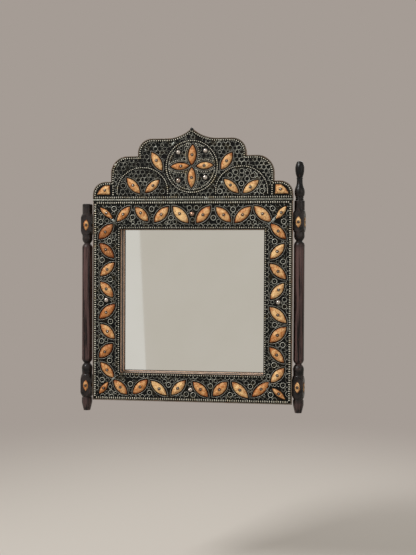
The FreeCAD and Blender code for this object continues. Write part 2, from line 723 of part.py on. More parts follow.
pinBore = turnedAlongY("panel_pin_bore", [
    ("0", "0"), ("pinHeadRadius + bore", "0"), ("pinHeadRadius + bore", "-pinHeadRise"),
    ("pinRadius + bore", "-pinHeadRise"), ("pinRadius + bore", "-pinLength"), ("0", "-pinLength")])
screw = turnedAlongY("batten_screw", [
    ("0", "0"), ("screwHeadRadius", "0"), ("screwRadius", "-screwHeadRise"),
    ("screwRadius", "-screwLength + screwRadius"), ("0", "-screwLength")])
screwBore = turnedAlongY("batten_screw_bore", [
    ("0", "0"), ("screwHeadRadius + bore", "0"), ("screwRadius + bore", "-screwHeadRise"),
    ("screwRadius + bore", "-screwLength + screwRadius"), ("0", "-screwLength")])
doc.recompute()

# Frame leaves in hand-set places, in the order that each side has when it is turned to the
# top. Each row gives the shift along and across the side as shares of the leaf spacing, the
# lean in degrees past the common slope, and the nail's shift as a share of the leaf.
leafSpacingShare = 0.0975
leafShares = {
    "top": [(-0.02, 0.05, 3, -0.02), (-0.07, 0.04, 2, -0.07), (-0.05, 0.02, 2, 0),
            (-0.06, 0.01, 1, -0.06), (0.11, 0.01, 5.5, -0.02), (0.13, 0.01, 0, 0.02),
            (0.11, 0, 0, 0), (0.11, 0.04, -2.5, 0)],
    "left": [(-0.08, -0.06, -3, 0.01), (-0.08, 0.01, 0, -0.07), (-0.08, -0.07, 0, 0),
             (-0.05, -0.05, 3, -0.07), (0.08, -0.02, -5, 0.03), (0.12, -0.05, 2, -0.01),
             (0.08, -0.02, 0, 0.07), (0.06, 0.04, -1.1, -0.03)],
    "right": [(-0.07, -0.01, 0, -0.01), (-0.06, -0.05, -1.5, 0), (-0.06, -0.01, 2.5, 0),
              (-0.06, -0.04, -4.3, -0.09), (0.13, 0, 2, 0), (0.12, 0.01, 1.5, 0.04),
              (0.14, -0.05, -1, 0), (0.16, 0, -2.8, 0.02)],
    "bottom": [(-0.07, -0.02, -3.5, -0.02), (-0.02, 0.04, -1, 0), (-0.01, 0.01, 0, 0.04),
               (-0.01, 0.05, -1, 0), (0.13, -0.01, 1, 0.04), (0.15, 0.04, -3.5, -0.04),
               (0.11, -0.01, 0, 0.01), (0.15, 0.04, 1, 0.01)],
}
# Corner leaves: corner signs, shift as shares of the leaf, slope in degrees.
cornerLeafShares = [(-1, 1, 0.09, 0.01, -41), (1, 1, 0.05, 0.02, 51), (-1, -1, -0.04, -0.01, 52), (1, -1, -0.03, -0.11, -40)]
# Crest petals and upper leaves about the flower, as shares of its circle, with the slope.
petalShares = [(-0.47, 0.01, 2.5, 0.05), (0.52, 0.03, 3, -0.03), (0.02, 0.46, 87, 0), (0, -0.44, 89, 0)]
upperLeafShares = [(-1.4, 0.21, -60, -0.05), (1.39, 0.2, 57, 0)]
# Lower crest leaves about their arch, as shares of its radius.
lowerLeafShares = [(-1, -0.42, 0.23, -49, -0.02), (-1, 0.41, 0.2, 41, 0.05),
                   (1, -0.41, 0.19, -44, -0.06), (1, 0.42, 0.16, 39, -0.04)]
crestStudShares = [(-0.54, 0.57), (0.54, 0.62), (-0.54, -0.55), (0.54, -0.44)]
frameStudShares = {"top": (0.03, 0.05), "left": (0.03, 0.01), "right": (-0.01, 0.01), "bottom": (0.02, 0.08)}
# A raised ring lies between a leaf and the next, alternately out and in, save in the middle.
ringOutShare = 0.27
ringInShare = -0.16


def spacing(side):
    return worth(sides[side][1]) * 2 * leafSpacingShare


def leafRow(side):
    """Each leaf of a side as x, z, slope and the shift of its nail, seen on the frame."""
    turn = sides[side][0]
    pitch = spacing(side)
    row = []
    for k, (alongShare, acrossShare, lean, nailShare) in enumerate(leafShares[side]):
        along = (k - 3.5 + alongShare) * pitch
        across = worth(sides[side][2]) - size.leafInset + acrossShare * pitch
        slope = (size.leafTilt + lean) * (1 if k % 2 == 0 else -1)
        spot = facing(turn).multVec(Vector(along, 0, across))
        slide = nailShare * worth(frameLeafSize("leafLengthShare", side))
        row.append((spot.x, spot.z, slope + turn, slide))
    return row


def shifted(x, z, angle, slide):
    """A point moved along a leaf's own length."""
    step = facing(angle).multVec(Vector(slide, 0, 0))
    return x + step.x, z + step.z


leafRows = {side: leafRow(side) for side in sides}
cornerRow = []
for signX, signZ, shiftX, shiftZ, slope in cornerLeafShares:
    cornerRow.append((signX * (halfWide - size.cornerLeafInset) + shiftX * size.cornerLeafLength,
                      signZ * (halfHigh - size.cornerLeafInset) + shiftZ * size.cornerLeafLength, slope, 0))
circleRadius = worth(circleText)
flowerZ = seam + worth(flowerText)
archRadius = worth(archText)
petalLength = worth(petalLengthText)
crestLeafLength = worth(crestLeafLengthText)
flowerRow = [(x * circleRadius, flowerZ + z * circleRadius, slope, slide * petalLength)
             for x, z, slope, slide in petalShares]
upperRow = [(x * circleRadius, flowerZ + z * circleRadius, slope, slide * crestLeafLength)
            for x, z, slope, slide in upperLeafShares]
archX = circleRadius + size.archGap + archRadius
lowerRow = [(sign * archX + x * archRadius, seam + worth(archLiftText) + z * archRadius, slope,
             slide * crestLeafLength) for sign, x, z, slope, slide in lowerLeafShares]
fanX = crestHalf - size.fanInset - worth(fanText) * 0.6
fanZ = seam + size.fanLift + worth(fanHeightText) * 0.47
fanRow = [(-fanX, fanZ, 0, 0), (fanX, fanZ, 0, 0)]


def leafPlaces(row):
    return [onFace(x, z, angle) for x, z, angle, slide in row]


def nailPlaces(row):
    spots = [shifted(*leaf) for leaf in row]
    return [onFace(x, z, 0, faceDepth + size.boneThick) for x, z in spots]


frameNailPlaces = [place for side in sides for place in nailPlaces(leafRows[side])] + nailPlaces(cornerRow)
crestNailPlaces = nailPlaces(flowerRow + upperRow + lowerRow + fanRow)
copies("frame_bone_nails", nail, frameNailPlaces)
copies("crest_bone_nails", nail, crestNailPlaces)
frameNailBores = copies("frame_nail_bores", nailBore, frameNailPlaces)
crestNailBores = copies("crest_nail_bores", nailBore, crestNailPlaces)

frameStudPlaces = []
for side, (alongShare, acrossShare) in frameStudShares.items():
    pitch = spacing(side)
    spot = facing(sides[side][0]).multVec(
        Vector(alongShare * pitch, 0, worth(sides[side][2]) - size.leafInset + acrossShare * pitch))
    frameStudPlaces.append(onFace(spot.x, spot.z))
crestStudPlaces = [onFace(x * circleRadius, flowerZ + z * circleRadius)
                   for x, z in crestStudShares]
copies("frame_studs", stud, frameStudPlaces)
copies("crest_studs", stud, crestStudPlaces)
frameStudBores = copies("frame_stud_bores", studBore, frameStudPlaces)
crestStudBores = copies("crest_stud_bores", studBore, crestStudPlaces)

ringPlaces = []
for side in sides:
    pitch = spacing(side)
    for gap in [k for k in range(-1, 8) if k != 3]:
        beside = leafShares[side][max(gap, 0):gap + 2]
        alongShare = gap - 3 + sum(leaf[0] for leaf in beside) / len(beside)
        acrossShare = sum(leaf[1] for leaf in beside) / len(beside)
        acrossShare += ringOutShare if gap % 2 else ringInShare
        spot = facing(sides[side][0]).multVec(
            Vector(alongShare * pitch, 0, worth(sides[side][2]) - size.leafInset + acrossShare * pitch))
        ringPlaces.append(onFace(spot.x, spot.z))
group("frame_rings", [copies("ring_wires", raisedRing, ringPlaces), copies("ring_dots", raisedDot, ringPlaces)])

# Leaves are pierced by their nails. The wires round the leaves end at the mitres.
for side in sides:
    blank = copies(side + "_leaf_blanks", frameLeaf[side], leafPlaces(leafRows[side]))
    cut(side + "_bone_leaves", blank, frameNailBores)
    rings = copies(side + "_bezel_blanks", frameBezel[side], leafPlaces(leafRows[side]))
    field = newBody(side + "_bezel_field")
    pad(field, side + "_field", "XZ_Plane",
        mitred(side, "beadInset + beadWidth", "borderWidth - innerBeadInset - innerBeadWidth"),
        "bezelRise", "woodDepth + sheetThick")
    field.Placement = sidePlace(side)
    trimmed = doc.addObject("Part::Common", side + "_leaf_bezels")
    trimmed.Base = rings
    trimmed.Tool = field
cut("corner_bone_leaves", copies("corner_leaf_blanks", cornerLeaf, leafPlaces(cornerRow)), frameNailBores)
cut("crest_flower_petals", copies("petal_blanks", petal, leafPlaces(flowerRow)), crestNailBores)
cut("crest_upper_leaves", copies("upper_leaf_blanks", crestLeaf, leafPlaces(upperRow)), crestNailBores)
cut("crest_lower_leaves", copies("lower_leaf_blanks", crestLeaf, leafPlaces(lowerRow)), crestNailBores)
cut("crest_corner_fans", group("fan_blanks", fans), crestNailBores)
group("crest_leaf_bezels", [
    copies("petal_bezels", petalBezel, leafPlaces(flowerRow)),
    copies("crest_leaf_rings", crestLeafBezel, leafPlaces(upperRow + lowerRow))])

# Panel pins round the back panel, three to a side.
pinShares = (-0.8, 0, 0.8)
pinIn = size.borderWidth - size.sheetThick - size.glassRebate - size.panelRebate / 2
pinPlaces = []
for side in sides:
    for share in pinShares:
        spot = facing(sides[side][0]).multVec(
            Vector(share * (worth(sides[side][1]) - pinIn), 0, worth(sides[side][2]) - pinIn))
        pinPlaces.append(Placement(spot, Rotation()))
copies("panel_pins", pin, pinPlaces)
pinBores = copies("panel_pin_bores", pinBore, pinPlaces)
cut("back_panel", panelBody, pinBores)

# Batten screws: two in the top rail and three in the crest board for each batten.
screwShares = (-0.28, -0.72, 0.22, 0.55, 0.88)
screwPlaces = []
for sign in (-1, 1):
    for share in screwShares:
        reach = size.battenFoot if share < 0 else worth(battenRiseText)
        spot = Vector(sign * worth(battenText), -(crestBack - size.battenThick), seam + share * reach)
        screwPlaces.append(Placement(spot, Rotation()))
copies("batten_screws", screw, screwPlaces)
screwBores = copies("batten_screw_bores", screwBore, screwPlaces)
cut("left_crest_batten", leftBattenBody, screwBores)
cut("right_crest_batten", rightBattenBody, screwBores)


def dowel(label, radius, length, place):
    item = doc.addObject("Part::Cylinder", label)
    bind(item, "Radius", radius)
    bind(item, "Height", length)
    item.Placement = place
    return item


# Dowels between the top rail and the crest board.
crestDowels = []
crestDowelBores = []
for k in (-1, 0, 1):
    place = Placement(Vector(k * size.dowelSpread, -(crestBack + size.crestThick / 2), seam - size.dowelDepth), Rotation())
    crestDowels.append(dowel("crest_dowel_%d" % (k + 1), "dowelRadius", "2 * dowelDepth", place))
    crestDowelBores.append(dowel("crest_dowel_bore_%d" % (k + 1), "dowelRadius + bore", "2 * dowelDepth", place))
group("crest_dowels", crestDowels)


# Posts. Square stock with everything but the two blocks turned away, heights from the foot.
lowerBlockLow = "footLength"
lowerBlockHigh = "footLength + lowerBlockLength"
lowerNeck = lowerBlockHigh + " + lowerNeckRise"
upperBlockLow = ("footLength + lowerBlockLength / 2 + frameHeight - lowerBlockInset"
                 " - upperBlockInset - upperBlockLength / 2")
upperNeck = upperBlockLow + " - upperNeckDrop"
upperBlockHigh = upperBlockLow + " + upperBlockLength"
postTop = upperBlockHigh + " + shoulderRun + headLength"
blockClear = "stockWidth * 0.715"
turnClear = "stockWidth * 0.8"


def neck(middle, down, up):
    """Waist between two rounded ends, from below to above: each end is (radius, height)."""
    low = "%s - neckFlat / 2" % middle
    high = "%s + neckFlat / 2" % middle
    below = "sqrt((%s - neckRadius)^2 + (%s - (%s))^2)" % (down[0], low, down[1])
    above = "sqrt((%s - neckRadius)^2 + (%s - (%s))^2)" % (up[0], up[1], high)
    return [(down[0], down[1], below, 1), ("neckRadius", low), ("neckRadius", high, above, 1), (up[0], up[1])]


def postBody(label):
    body = newBody(label)
    half = "stockWidth / 2"
    pad(body, label + "_stock", "XY_Plane", rectangle("-" + half, half, "-" + half, half), postTop)
    profile = [("footTipRadius", "0"), ("spindleRadius", "footLength - footStraight"),
               ("spindleRadius", "footLength - shoulderRun * 1.2"),
               ("footGroove", "footLength - shoulderRun * 0.8"),
               ("footGroove", "footLength - shoulderRun * 0.4"),
               (blockClear, lowerBlockLow + " + footShoulderRun"),
               (blockClear, lowerBlockHigh + " - waistShoulderRun"),
               ("headRadius", lowerBlockHigh)]
    profile += neck(lowerNeck, ("spindleRadius", lowerBlockHigh + " + lowerCollar"),
                    ("spindleRadius", lowerNeck + " + neckRun"))
    profile += neck(upperNeck, ("spindleRadius", upperNeck + " - neckRun"),
                    ("headRadius", upperBlockLow + " - upperCollar"))
    profile += [("headRadius", upperBlockLow),
                (blockClear, upperBlockLow + " + upperShoulderRun"),
                (blockClear, upperBlockHigh + " + shoulderRun - upperShoulderRun"),
                ("headRadius", upperBlockHigh + " + shoulderRun"),
                ("headRadius", postTop + " - rimRound", "rimRound", 1),
                ("headRadius - rimRound", postTop)]
    over = "shoulderRun"
    waste = profile + [("headRadius - rimRound", "%s + %s" % (postTop, over)),
                       (turnClear, "%s + %s" % (postTop, over)),
                       (turnClear, "-" + over), ("footTipRadius", "-" + over)]
    groove = body.newObject("PartDesign::Groove", label + "_turning")
    sketch = sketchOn(body, label + "_profile", "XZ_Plane", waste)
    groove.Profile = sketch
    groove.ReferenceAxis = (sketch, ["V_Axis"])
    groove.Angle = 360
    body.Tip = groove
    doc.recompute()
    flute = pocket(body, label + "_flute", "XZ_Plane",
                   [("footTipRadius - fluteDepth", "-shoulderRun"), (turnClear, "-shoulderRun"),
                    (turnClear, "fluteHeight")],
                   "fluteWidth", "0", True)
    doc.recompute()
    pattern = body.newObject("PartDesign::PolarPattern", label + "_flutes")
    pattern.Originals = [flute]
    pattern.Axis = (sketch, ["V_Axis"])
    pattern.Angle = 360
    bind(pattern, "Occurrences", "fluteCount")
    body.Tip = pattern
    doc.recompute()
    return body


def postPlace(x, drop, turn):
    low = -halfHigh + size.lowerBlockInset - size.lowerBlockLength / 2 - size.footLength - drop
    return Placement(Vector(x, -size.postSetback, low), Rotation(Vector(0, 0, 1), turn))


turnAngle = math.radians(size.rightPostTurn)
turnedHalf = size.stockWidth / 2 * (math.cos(turnAngle) + math.sin(turnAngle))
leftPlace = postPlace(-(halfWide + size.leftPostGap + size.stockWidth / 2), size.leftPostDrop, 0)
rightPlace = postPlace(halfWide + turnedHalf, 0, -size.rightPostTurn)
postBlank = postBody("post_blank")

# Bone lozenges on the front and the outer side of each block, standing on their points.
lowerBlockMiddle = worth(lowerBlockLow + " + lowerBlockLength / 2")
upperBlockMiddle = worth(upperBlockLow + " + upperBlockLength / 2")
standing = facing(90)


def lozengePlaces(post, outer, lift=0):
    """Places on a post's blocks; outer is the turn from its front to its outer side."""
    places = []
    for middle in (lowerBlockMiddle, upperBlockMiddle):
        for turn in (0, outer):
            about = Rotation(Vector(0, 0, 1), turn)
            spot = about.multVec(Vector(0, -(size.stockWidth / 2 + lift), 0)) + Vector(0, 0, middle)
            places.append(post.multiply(Placement(spot, about.multiply(standing))))
    return places


lozengeSets = {"left": lozengePlaces(leftPlace, -90), "right": lozengePlaces(rightPlace, 90)}
lozengeNailPlaces = (lozengePlaces(leftPlace, -90, size.lozengeThick)
                     + lozengePlaces(rightPlace, 90, size.lozengeThick))
copies("lozenge_nails", lozengeNail, lozengeNailPlaces)
lozengeBores = copies("lozenge_nail_bores", lozengeBore, lozengeNailPlaces)
for side, places in lozengeSets.items():
    cut(side + "_post_lozenges", copies(side + "_lozenge_blanks", lozenge, places), lozengeBores)

# Dowels from the stiles into the blocks.
postDowels = []
postDowelBores = []
turnedGap = "stockWidth / 2 * (cos(rightPostTurn * 1 deg) + sin(rightPostTurn * 1 deg) - 1)"
for side, place, sign, room in (("left", leftPlace, -1, "leftPostGap"), ("right", rightPlace, 1, turnedGap)):
    for name, middle in (("low", lowerBlockMiddle), ("high", upperBlockMiddle)):
        reach = "dowelDepth + %s + postDowelDepth" % room
        start = Vector(sign * (halfWide - size.dowelDepth), -size.postSetback, place.Base.z + middle)
        aim = Placement(start, Rotation(Vector(0, 1, 0), 90 * sign))
        for kind, extra, keep in (("", "dowelRadius", postDowels), ("bore_", "dowelRadius + bore", postDowelBores)):
            keep.append(dowel("post_dowel_%s%s_%s" % (kind, side, name), extra, reach, aim))
group("post_dowels", postDowels)


def socket(label, place):
    item = doc.addObject("Part::Cylinder", label)
    bind(item, "Radius", "socketRadius")
    bind(item, "Height", "socketDepth")
    item.Placement = place.multiply(Placement(Vector(0, 0, worth(postTop) - size.socketDepth), Rotation()))
    return item


doc.recompute()
for side, place in (("left", leftPlace), ("right", rightPlace)):
    blank = copies(side + "_post_blank", postBlank, [place])
    tool = group(side + "_post_tools", [socket(side + "_socket", place), lozengeBores] + postDowelBores)
    cut(side + "_post", blank, tool)

# Finial, with a tenon in the right post's socket. Heights from the post's top.
finial = newBody("right_finial")
finialTurning = finial.newObject("PartDesign::Revolution", "finial_turning")
tenonRadius = "socketRadius - tenonFit"
finialProfile = [
    ("0", "-socketDepth + tenonFit"), (tenonRadius, "-socketDepth + tenonFit"), (tenonRadius, "0"),
    ("finialFootRadius", "0"),
    ("finialFootRadius", "finialLength * 0.004", "finialLength * 0.026", 1),
    ("finialFootRadius", "finialLength * 0.044"),
    ("finialFootRadius", "finialLength * 0.05", "finialLength * 0.026", 1),
    ("finialFootRadius", "finialLength * 0.09"),
    ("finialFootRadius * 1.14", "finialLength * 0.1"),
    ("finialCupRadius * 0.89", "finialLength * 0.112", "finialLength * 0.33", 1),
    ("finialCupRadius", "finialLength * 0.21", "finialLength * 0.33", 1),
    ("finialCupRadius * 0.82", "finialLength * 0.33", "finialLength * 0.345", -1),
    ("finialNeckRadius", "finialLength * 0.475"),
    ("finialNeckRadius * 0.985", "finialLength * 0.55"),
    ("finialNeckRadius * 1.09", "finialLength * 0.556"),
    ("finialNeckRadius * 1.09", "finialLength * 0.571"),
    ("finialNeckRadius * 0.93", "finialLength * 0.579", "finialBulbRadius * 5.27", 1),
    ("finialBulbRadius", "finialLength * 0.81", "finialBulbRadius * 2.93", 1),
    ("finialBulbRadius * 0.742", "finialLength * 0.949", "finialBulbRadius * 0.56", 1),
    ("finialBulbRadius * 0.1", "finialLength"),
    ("0", "finialLength"),
]
finialSketch = sketchOn(finial, "finial_profile", "XZ_Plane", finialProfile)
finialTurning.Profile = finialSketch
finialTurning.ReferenceAxis = (finialSketch, ["V_Axis"])
finialTurning.Angle = 360
finial.Tip = finialTurning
finial.Placement = rightPlace.multiply(Placement(Vector(0, 0, worth(postTop)), Rotation()))

# Hanger: a staple in the back of the crest board and the ring that swings in it.
hangY = -(crestBack - size.hangPlay - size.hangWire)
hangZ = seam + size.hangLiftShare * crestHalf
ring = doc.addObject("Part::Torus", "hanging_ring")
bind(ring, "Radius1", "hangRingRadius")
bind(ring, "Radius2", "hangWire")
ring.Placement = Placement(Vector(0, hangY, hangZ - size.hangRingRadius), Rotation(Vector(1, 0, 0), 90))
bend = size.hangWire + size.hangPlay + size.stapleWire
arch = doc.addObject("Part::Torus", "staple_bend")
bind(arch, "Radius1", "hangWire + hangPlay + stapleWire")
bind(arch, "Radius2", "stapleWire")
arch.Angle3 = 180
arch.Placement = Placement(Vector(0, hangY, hangZ), Rotation(Vector(0, 1, 0), 90))
legs = []
for name, sign in (("high", 1), ("low", -1)):
    leg = doc.addObject("Part::Cylinder", "staple_leg_" + name)
    bind(leg, "Radius", "stapleWire")
    bind(leg, "Height", "stapleLeg + hangWire + hangPlay")
    leg.Placement = Placement(Vector(0, hangY, hangZ + sign * bend), Rotation(Vector(1, 0, 0), 90))
    legs.append(leg)
staple = doc.addObject("Part::MultiFuse", "hanger_staple")
staple.Shapes = [arch] + legs
legBores = []
for name, sign in (("high", 1), ("low", -1)):
    leg = doc.addObject("Part::Cylinder", "staple_bore_" + name)
    bind(leg, "Radius", "stapleWire + bore")
    bind(leg, "Height", "stapleLeg + hangWire + hangPlay")
    leg.Placement = Placement(Vector(0, hangY, hangZ + sign * bend), Rotation(Vector(1, 0, 0), 90))
    legBores.append(leg)

# The wood and the sheets, bored for everything that is driven into them.
doc.recompute()
railNames = {"top": "top_rail", "bottom": "bottom_rail", "left": "left_stile", "right": "right_stile"}
frameTools = [frameNailBores, frameStudBores, pinBores]
for side, name in railNames.items():
    extra = list(frameTools)
    if side == "top":
        extra += [screwBores] + crestDowelBores
    if side in ("left", "right"):
        extra += postDowelBores
    cut(name, rails[side], group(name + "_tools", extra))
    cut(side + "_sheet", sheets[side], group(side + "_sheet_tools", [frameNailBores, frameStudBores]))
cut("crest_board", crestBody, group("crest_tools", [crestNailBores, crestStudBores, screwBores]
                                    + crestDowelBores + legBores))
cut("crest_sheet", crestSheetBody, group("crest_sheet_tools", [crestNailBores, crestStudBores]))

nodes = [
    "top_rail", "bottom_rail", "left_stile", "right_stile", "corner_keys",
    "crest_board", "crest_dowels", "left_crest_batten", "right_crest_batten", "batten_screws",
    "mirror_glass", "backing_paper", "back_panel", "panel_pins",
    "crest_sheet", "top_sheet", "bottom_sheet", "left_sheet", "right_sheet",
    "seam_wire", "crest_edge_wire", "frame_edge_wires", "outer_bead_rows", "inner_bead_rows",
    "crest_bead_row", "crest_base_bead_row", "crest_bead_circle", "crest_bead_arches",
    "top_leaf_bezels", "bottom_leaf_bezels", "left_leaf_bezels", "right_leaf_bezels",
    "crest_leaf_bezels", "top_bone_leaves", "bottom_bone_leaves", "left_bone_leaves",
    "right_bone_leaves", "corner_bone_leaves", "crest_flower_petals", "crest_upper_leaves",
    "crest_lower_leaves", "crest_corner_fans", "frame_bone_nails", "crest_bone_nails",
    "frame_studs", "crest_studs", "frame_rings", "left_post", "right_post", "right_finial",
    "left_post_lozenges", "right_post_lozenges", "lozenge_nails", "post_dowels",
    "hanger_staple", "hanging_ring",
]
doc.recompute()
for item in doc.Objects:
    if "Invalid" in item.State or "Error" in item.State:
        raise RuntimeError("failed: " + item.Label)
for name in nodes:
    item = doc.getObjectsByLabel(name)[0]
    if item.Shape.isNull() or not item.Shape.isValid():
        raise RuntimeError("bad shape: " + name)
    item.Shape.exportStep("parts/%s.step" % name)
    box = item.Shape.BoundBox
    print("%-22s %2d solids %9.1f mm3  x %.1f %.1f  y %.1f %.1f  z %.1f %.1f" % (
        name, len(item.Shape.Solids), item.Shape.Volume,
        box.XMin, box.XMax, box.YMin, box.YMax, box.ZMin, box.ZMax))
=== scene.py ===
import math
import bpy
import numpy as np
from mathutils import Matrix, Vector


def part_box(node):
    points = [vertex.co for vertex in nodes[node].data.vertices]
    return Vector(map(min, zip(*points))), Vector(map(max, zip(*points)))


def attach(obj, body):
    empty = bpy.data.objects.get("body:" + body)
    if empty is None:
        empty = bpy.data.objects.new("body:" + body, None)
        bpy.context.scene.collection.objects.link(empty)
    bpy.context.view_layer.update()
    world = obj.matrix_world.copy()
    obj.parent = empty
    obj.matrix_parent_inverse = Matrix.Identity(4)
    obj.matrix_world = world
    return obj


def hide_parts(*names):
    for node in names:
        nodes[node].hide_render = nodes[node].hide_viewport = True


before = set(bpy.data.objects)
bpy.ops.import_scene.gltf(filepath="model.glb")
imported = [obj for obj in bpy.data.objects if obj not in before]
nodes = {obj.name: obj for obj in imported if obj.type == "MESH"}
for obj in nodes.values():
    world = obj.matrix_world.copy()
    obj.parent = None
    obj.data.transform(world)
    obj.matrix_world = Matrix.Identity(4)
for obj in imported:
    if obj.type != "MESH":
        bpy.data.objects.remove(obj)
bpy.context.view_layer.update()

random = np.random.default_rng(7)
face = 33  # depth of the metal face, all lengths here in millimetres
print("frame loaded:", len(nodes), "nodes")


# Screen colour 0 to 255 as linear light
def colour(red, green, blue):
    return tuple(((c / 255 + 0.055) / 1.055) ** 2.4 if c > 10 else c / 3294.6 for c in (red, green, blue))


def darker(tone, share):
    return tuple(c * share for c in tone)


# A socket with operators, for node maths
class Flow:
    def __init__(self, tree, socket):
        self.tree = tree
        self.socket = socket

    def maths(self, operation, *others, clamp=False):
        node = self.tree.nodes.new("ShaderNodeMath")
        node.operation = operation
        node.use_clamp = clamp
        for slot, value in zip(node.inputs, (self,) + others):
            plug(self.tree, slot, value)
        return Flow(self.tree, node.outputs[0])

    def __add__(self, other):
        return self.maths("ADD", other)

    def __sub__(self, other):
        return self.maths("SUBTRACT", other)

    def __rsub__(self, other):
        return self.maths("MULTIPLY", -1).maths("ADD", other)

    def __mul__(self, other):
        return self.maths("MULTIPLY", other)

    # Smooth climb from 0 at low to 1 at high, or down where low is the larger
    def step(self, low, high):
        node = self.tree.nodes.new("ShaderNodeMapRange")
        node.interpolation_type = "SMOOTHSTEP"
        plug(self.tree, node.inputs["Value"], self)
        plug(self.tree, node.inputs["From Min"], min(low, high))
        plug(self.tree, node.inputs["From Max"], max(low, high))
        climb = Flow(self.tree, node.outputs[0])
        return climb if low < high else 1 - climb

    def clip(self):
        return self.maths("ADD", 0, clamp=True)


def plug(tree, slot, value):
    if isinstance(value, Flow):
        tree.links.new(value.socket, slot)
    elif isinstance(value, (tuple, list)):
        slot.default_value = (*value, 1) if len(value) < len(slot.default_value) else tuple(value)
    else:
        slot.default_value = value


# A material under construction
class Paint:
    def __init__(self, name):
        self.material = bpy.data.materials.new(name)
        self.material.use_nodes = True
        self.tree = self.material.node_tree
        self.shader = self.tree.nodes["Principled BSDF"]

    # Any node: settings first, then each input by its name with _ for a space
    def make(self, kind, output=0, settings=None, **values):
        node = self.tree.nodes.new("ShaderNode" + kind)
        for key, value in (settings or {}).items():
            setattr(node, key, value)
        for key, value in values.items():
            plug(self.tree, node.inputs[key.replace("_", " ")], value)
        return Flow(self.tree, node.outputs[output])

    # Object coordinates in millimetres, each axis stretched
    def place(self, x=1, y=1, z=1):
        raw = self.make("TexCoord", "Object")
        return self.make("Mapping", Vector=raw, Scale=[1000 * x, 1000 * y, 1000 * z])

    def axis(self, name):
        return self.make("SeparateXYZ", name, Vector=self.place())

    def noise(self, scale, where=None, detail=4, rough=0.5, lacing=0):
        return self.make("TexNoise", 0, Vector=where or self.place(), Scale=scale, Detail=detail,
                         Roughness=rough, Distortion=lacing)

    def attribute(self, name):
        return self.make("Attribute", "Fac", {"attribute_name": name})

    def blend(self, amount, first, second):
        node = self.tree.nodes.new("ShaderNodeMix")
        node.data_type = "RGBA"
        for slot, value in zip((0, 6, 7), (amount, first, second)):
            plug(self.tree, node.inputs[slot], value)
        return Flow(self.tree, node.outputs[2])

    # Screen colours laid over a base one after another, each by its own amount
    def over(self, base, *layers):
        for amount, tone in layers:
            base = self.blend(amount.clip(), base, colour(*tone))
        return base

    def bump(self, height, distance, strength=1):
        return self.make("Bump", Height=height, Distance=distance / 1000, Strength=strength)

    def set(self, **values):
        for key, value in values.items():
            plug(self.tree, self.shader.inputs[key.replace("_", " ")], value)
        return self.material


# Metal in two tones: a per-point attribute is 0 in the hollows, dark with patina, and 1 on the crowns, which
# are partly rubbed bright and partly a painted highlight
def metalPaint(name, hollow, crown, tint, rough, metallic, sheen=0.5, crownsRubbedAndLit=True, ground=0.3):
    paint = Paint(name)
    patch = paint.noise(0.035, rough=0.6)
    fine = paint.noise(0.45, rough=0.65)
    base = paint.blend(patch.step(0.35, 0.68), colour(*hollow), darker(colour(*hollow), 0.5))
    wearAndHighlight = (fine.step(0.35, 0.75) * 0.5 + ground).clip()
    if crownsRubbedAndLit:
        spots = fine.step(0.3, 0.62) * 0.5 + patch.step(0.3, 0.62) * 0.15 + 0.45
        # Bright crowns: partly rubbed wear, partly a painted highlight on the tops of wires, beads and rings
        wearAndHighlight = (paint.attribute("rub").step(0.3, 0.95) * spots).clip()
    warm = paint.noise(0.06, detail=2).step(0.5, 0.72) * 0.55
    return paint.set(
        Base_Color=paint.blend(wearAndHighlight, base, paint.over(colour(*crown), (warm, tint))), Metallic=metallic,
        Roughness=fine.step(0.2, 0.8) * 0.22 + rough, Specular_IOR_Level=sheen,
        Normal=paint.bump(paint.noise(0.9, rough=0.7), 0.12, 0.5))


# Dyed bone: warm ground, darker tips, nail stain, short dark pores, rounded to the rim; a darker rim and a
# near-black edge, partly dye and partly painted shade
def bonePaint():
    paint = Paint("dyed_bone")
    tone, tip, rim, nail = (paint.attribute(name) for name in ("tone", "tip", "rim", "nail"))
    cloud = paint.noise(0.11, rough=0.55)
    fine = paint.noise(0.36, detail=5, rough=0.72)
    pores = paint.noise(1.3, paint.place(1, 1, 0.5), detail=2).step(0.60, 0.70) * 0.8
    ground = paint.over(
        colour(250, 208, 146),
        (tone + cloud.step(0.3, 0.7) * 0.8 - 0.4, (198, 126, 66)),
        (tip.step(0.45, 1.05) * (cloud.step(0.35, 0.6) * 0.7 + 0.1), (156, 88, 42)),
        (tone - 0.9, (106, 62, 36)),
        (fine.step(0.52, 0.62) * 0.65, (136, 80, 38)))
    pale = paint.over(colour(254, 230, 178), (tone, (230, 172, 118)))
    ground = paint.over(
        paint.blend(fine.step(0.48, 0.38) * 0.72, ground, pale),
        (pores, (84, 40, 14)),
        (nail.step(4.4, 2.1) * (fine.step(0.3, 0.6) * 0.3 + 0.7), (44, 20, 10)),
        # Darker rim and near-black edge: partly dye, partly painted shade along the leaf's edge
        (rim.step(0.32, 0) * (cloud.step(0.3, 0.6) * 0.5 + tone * 0.4), (120, 54, 20)),
        (rim.step(0.05, 0) * 0.9, (40, 20, 10)))
    rounded = 1 - (1 - rim) * (1 - rim)
    return paint.set(Base_Color=ground, Roughness=fine.step(0.2, 0.8) * 0.2 + 0.42,
                     Normal=paint.bump(rounded * 8 + fine + pores * -0.8, 0.3), Specular_IOR_Level=0.22)
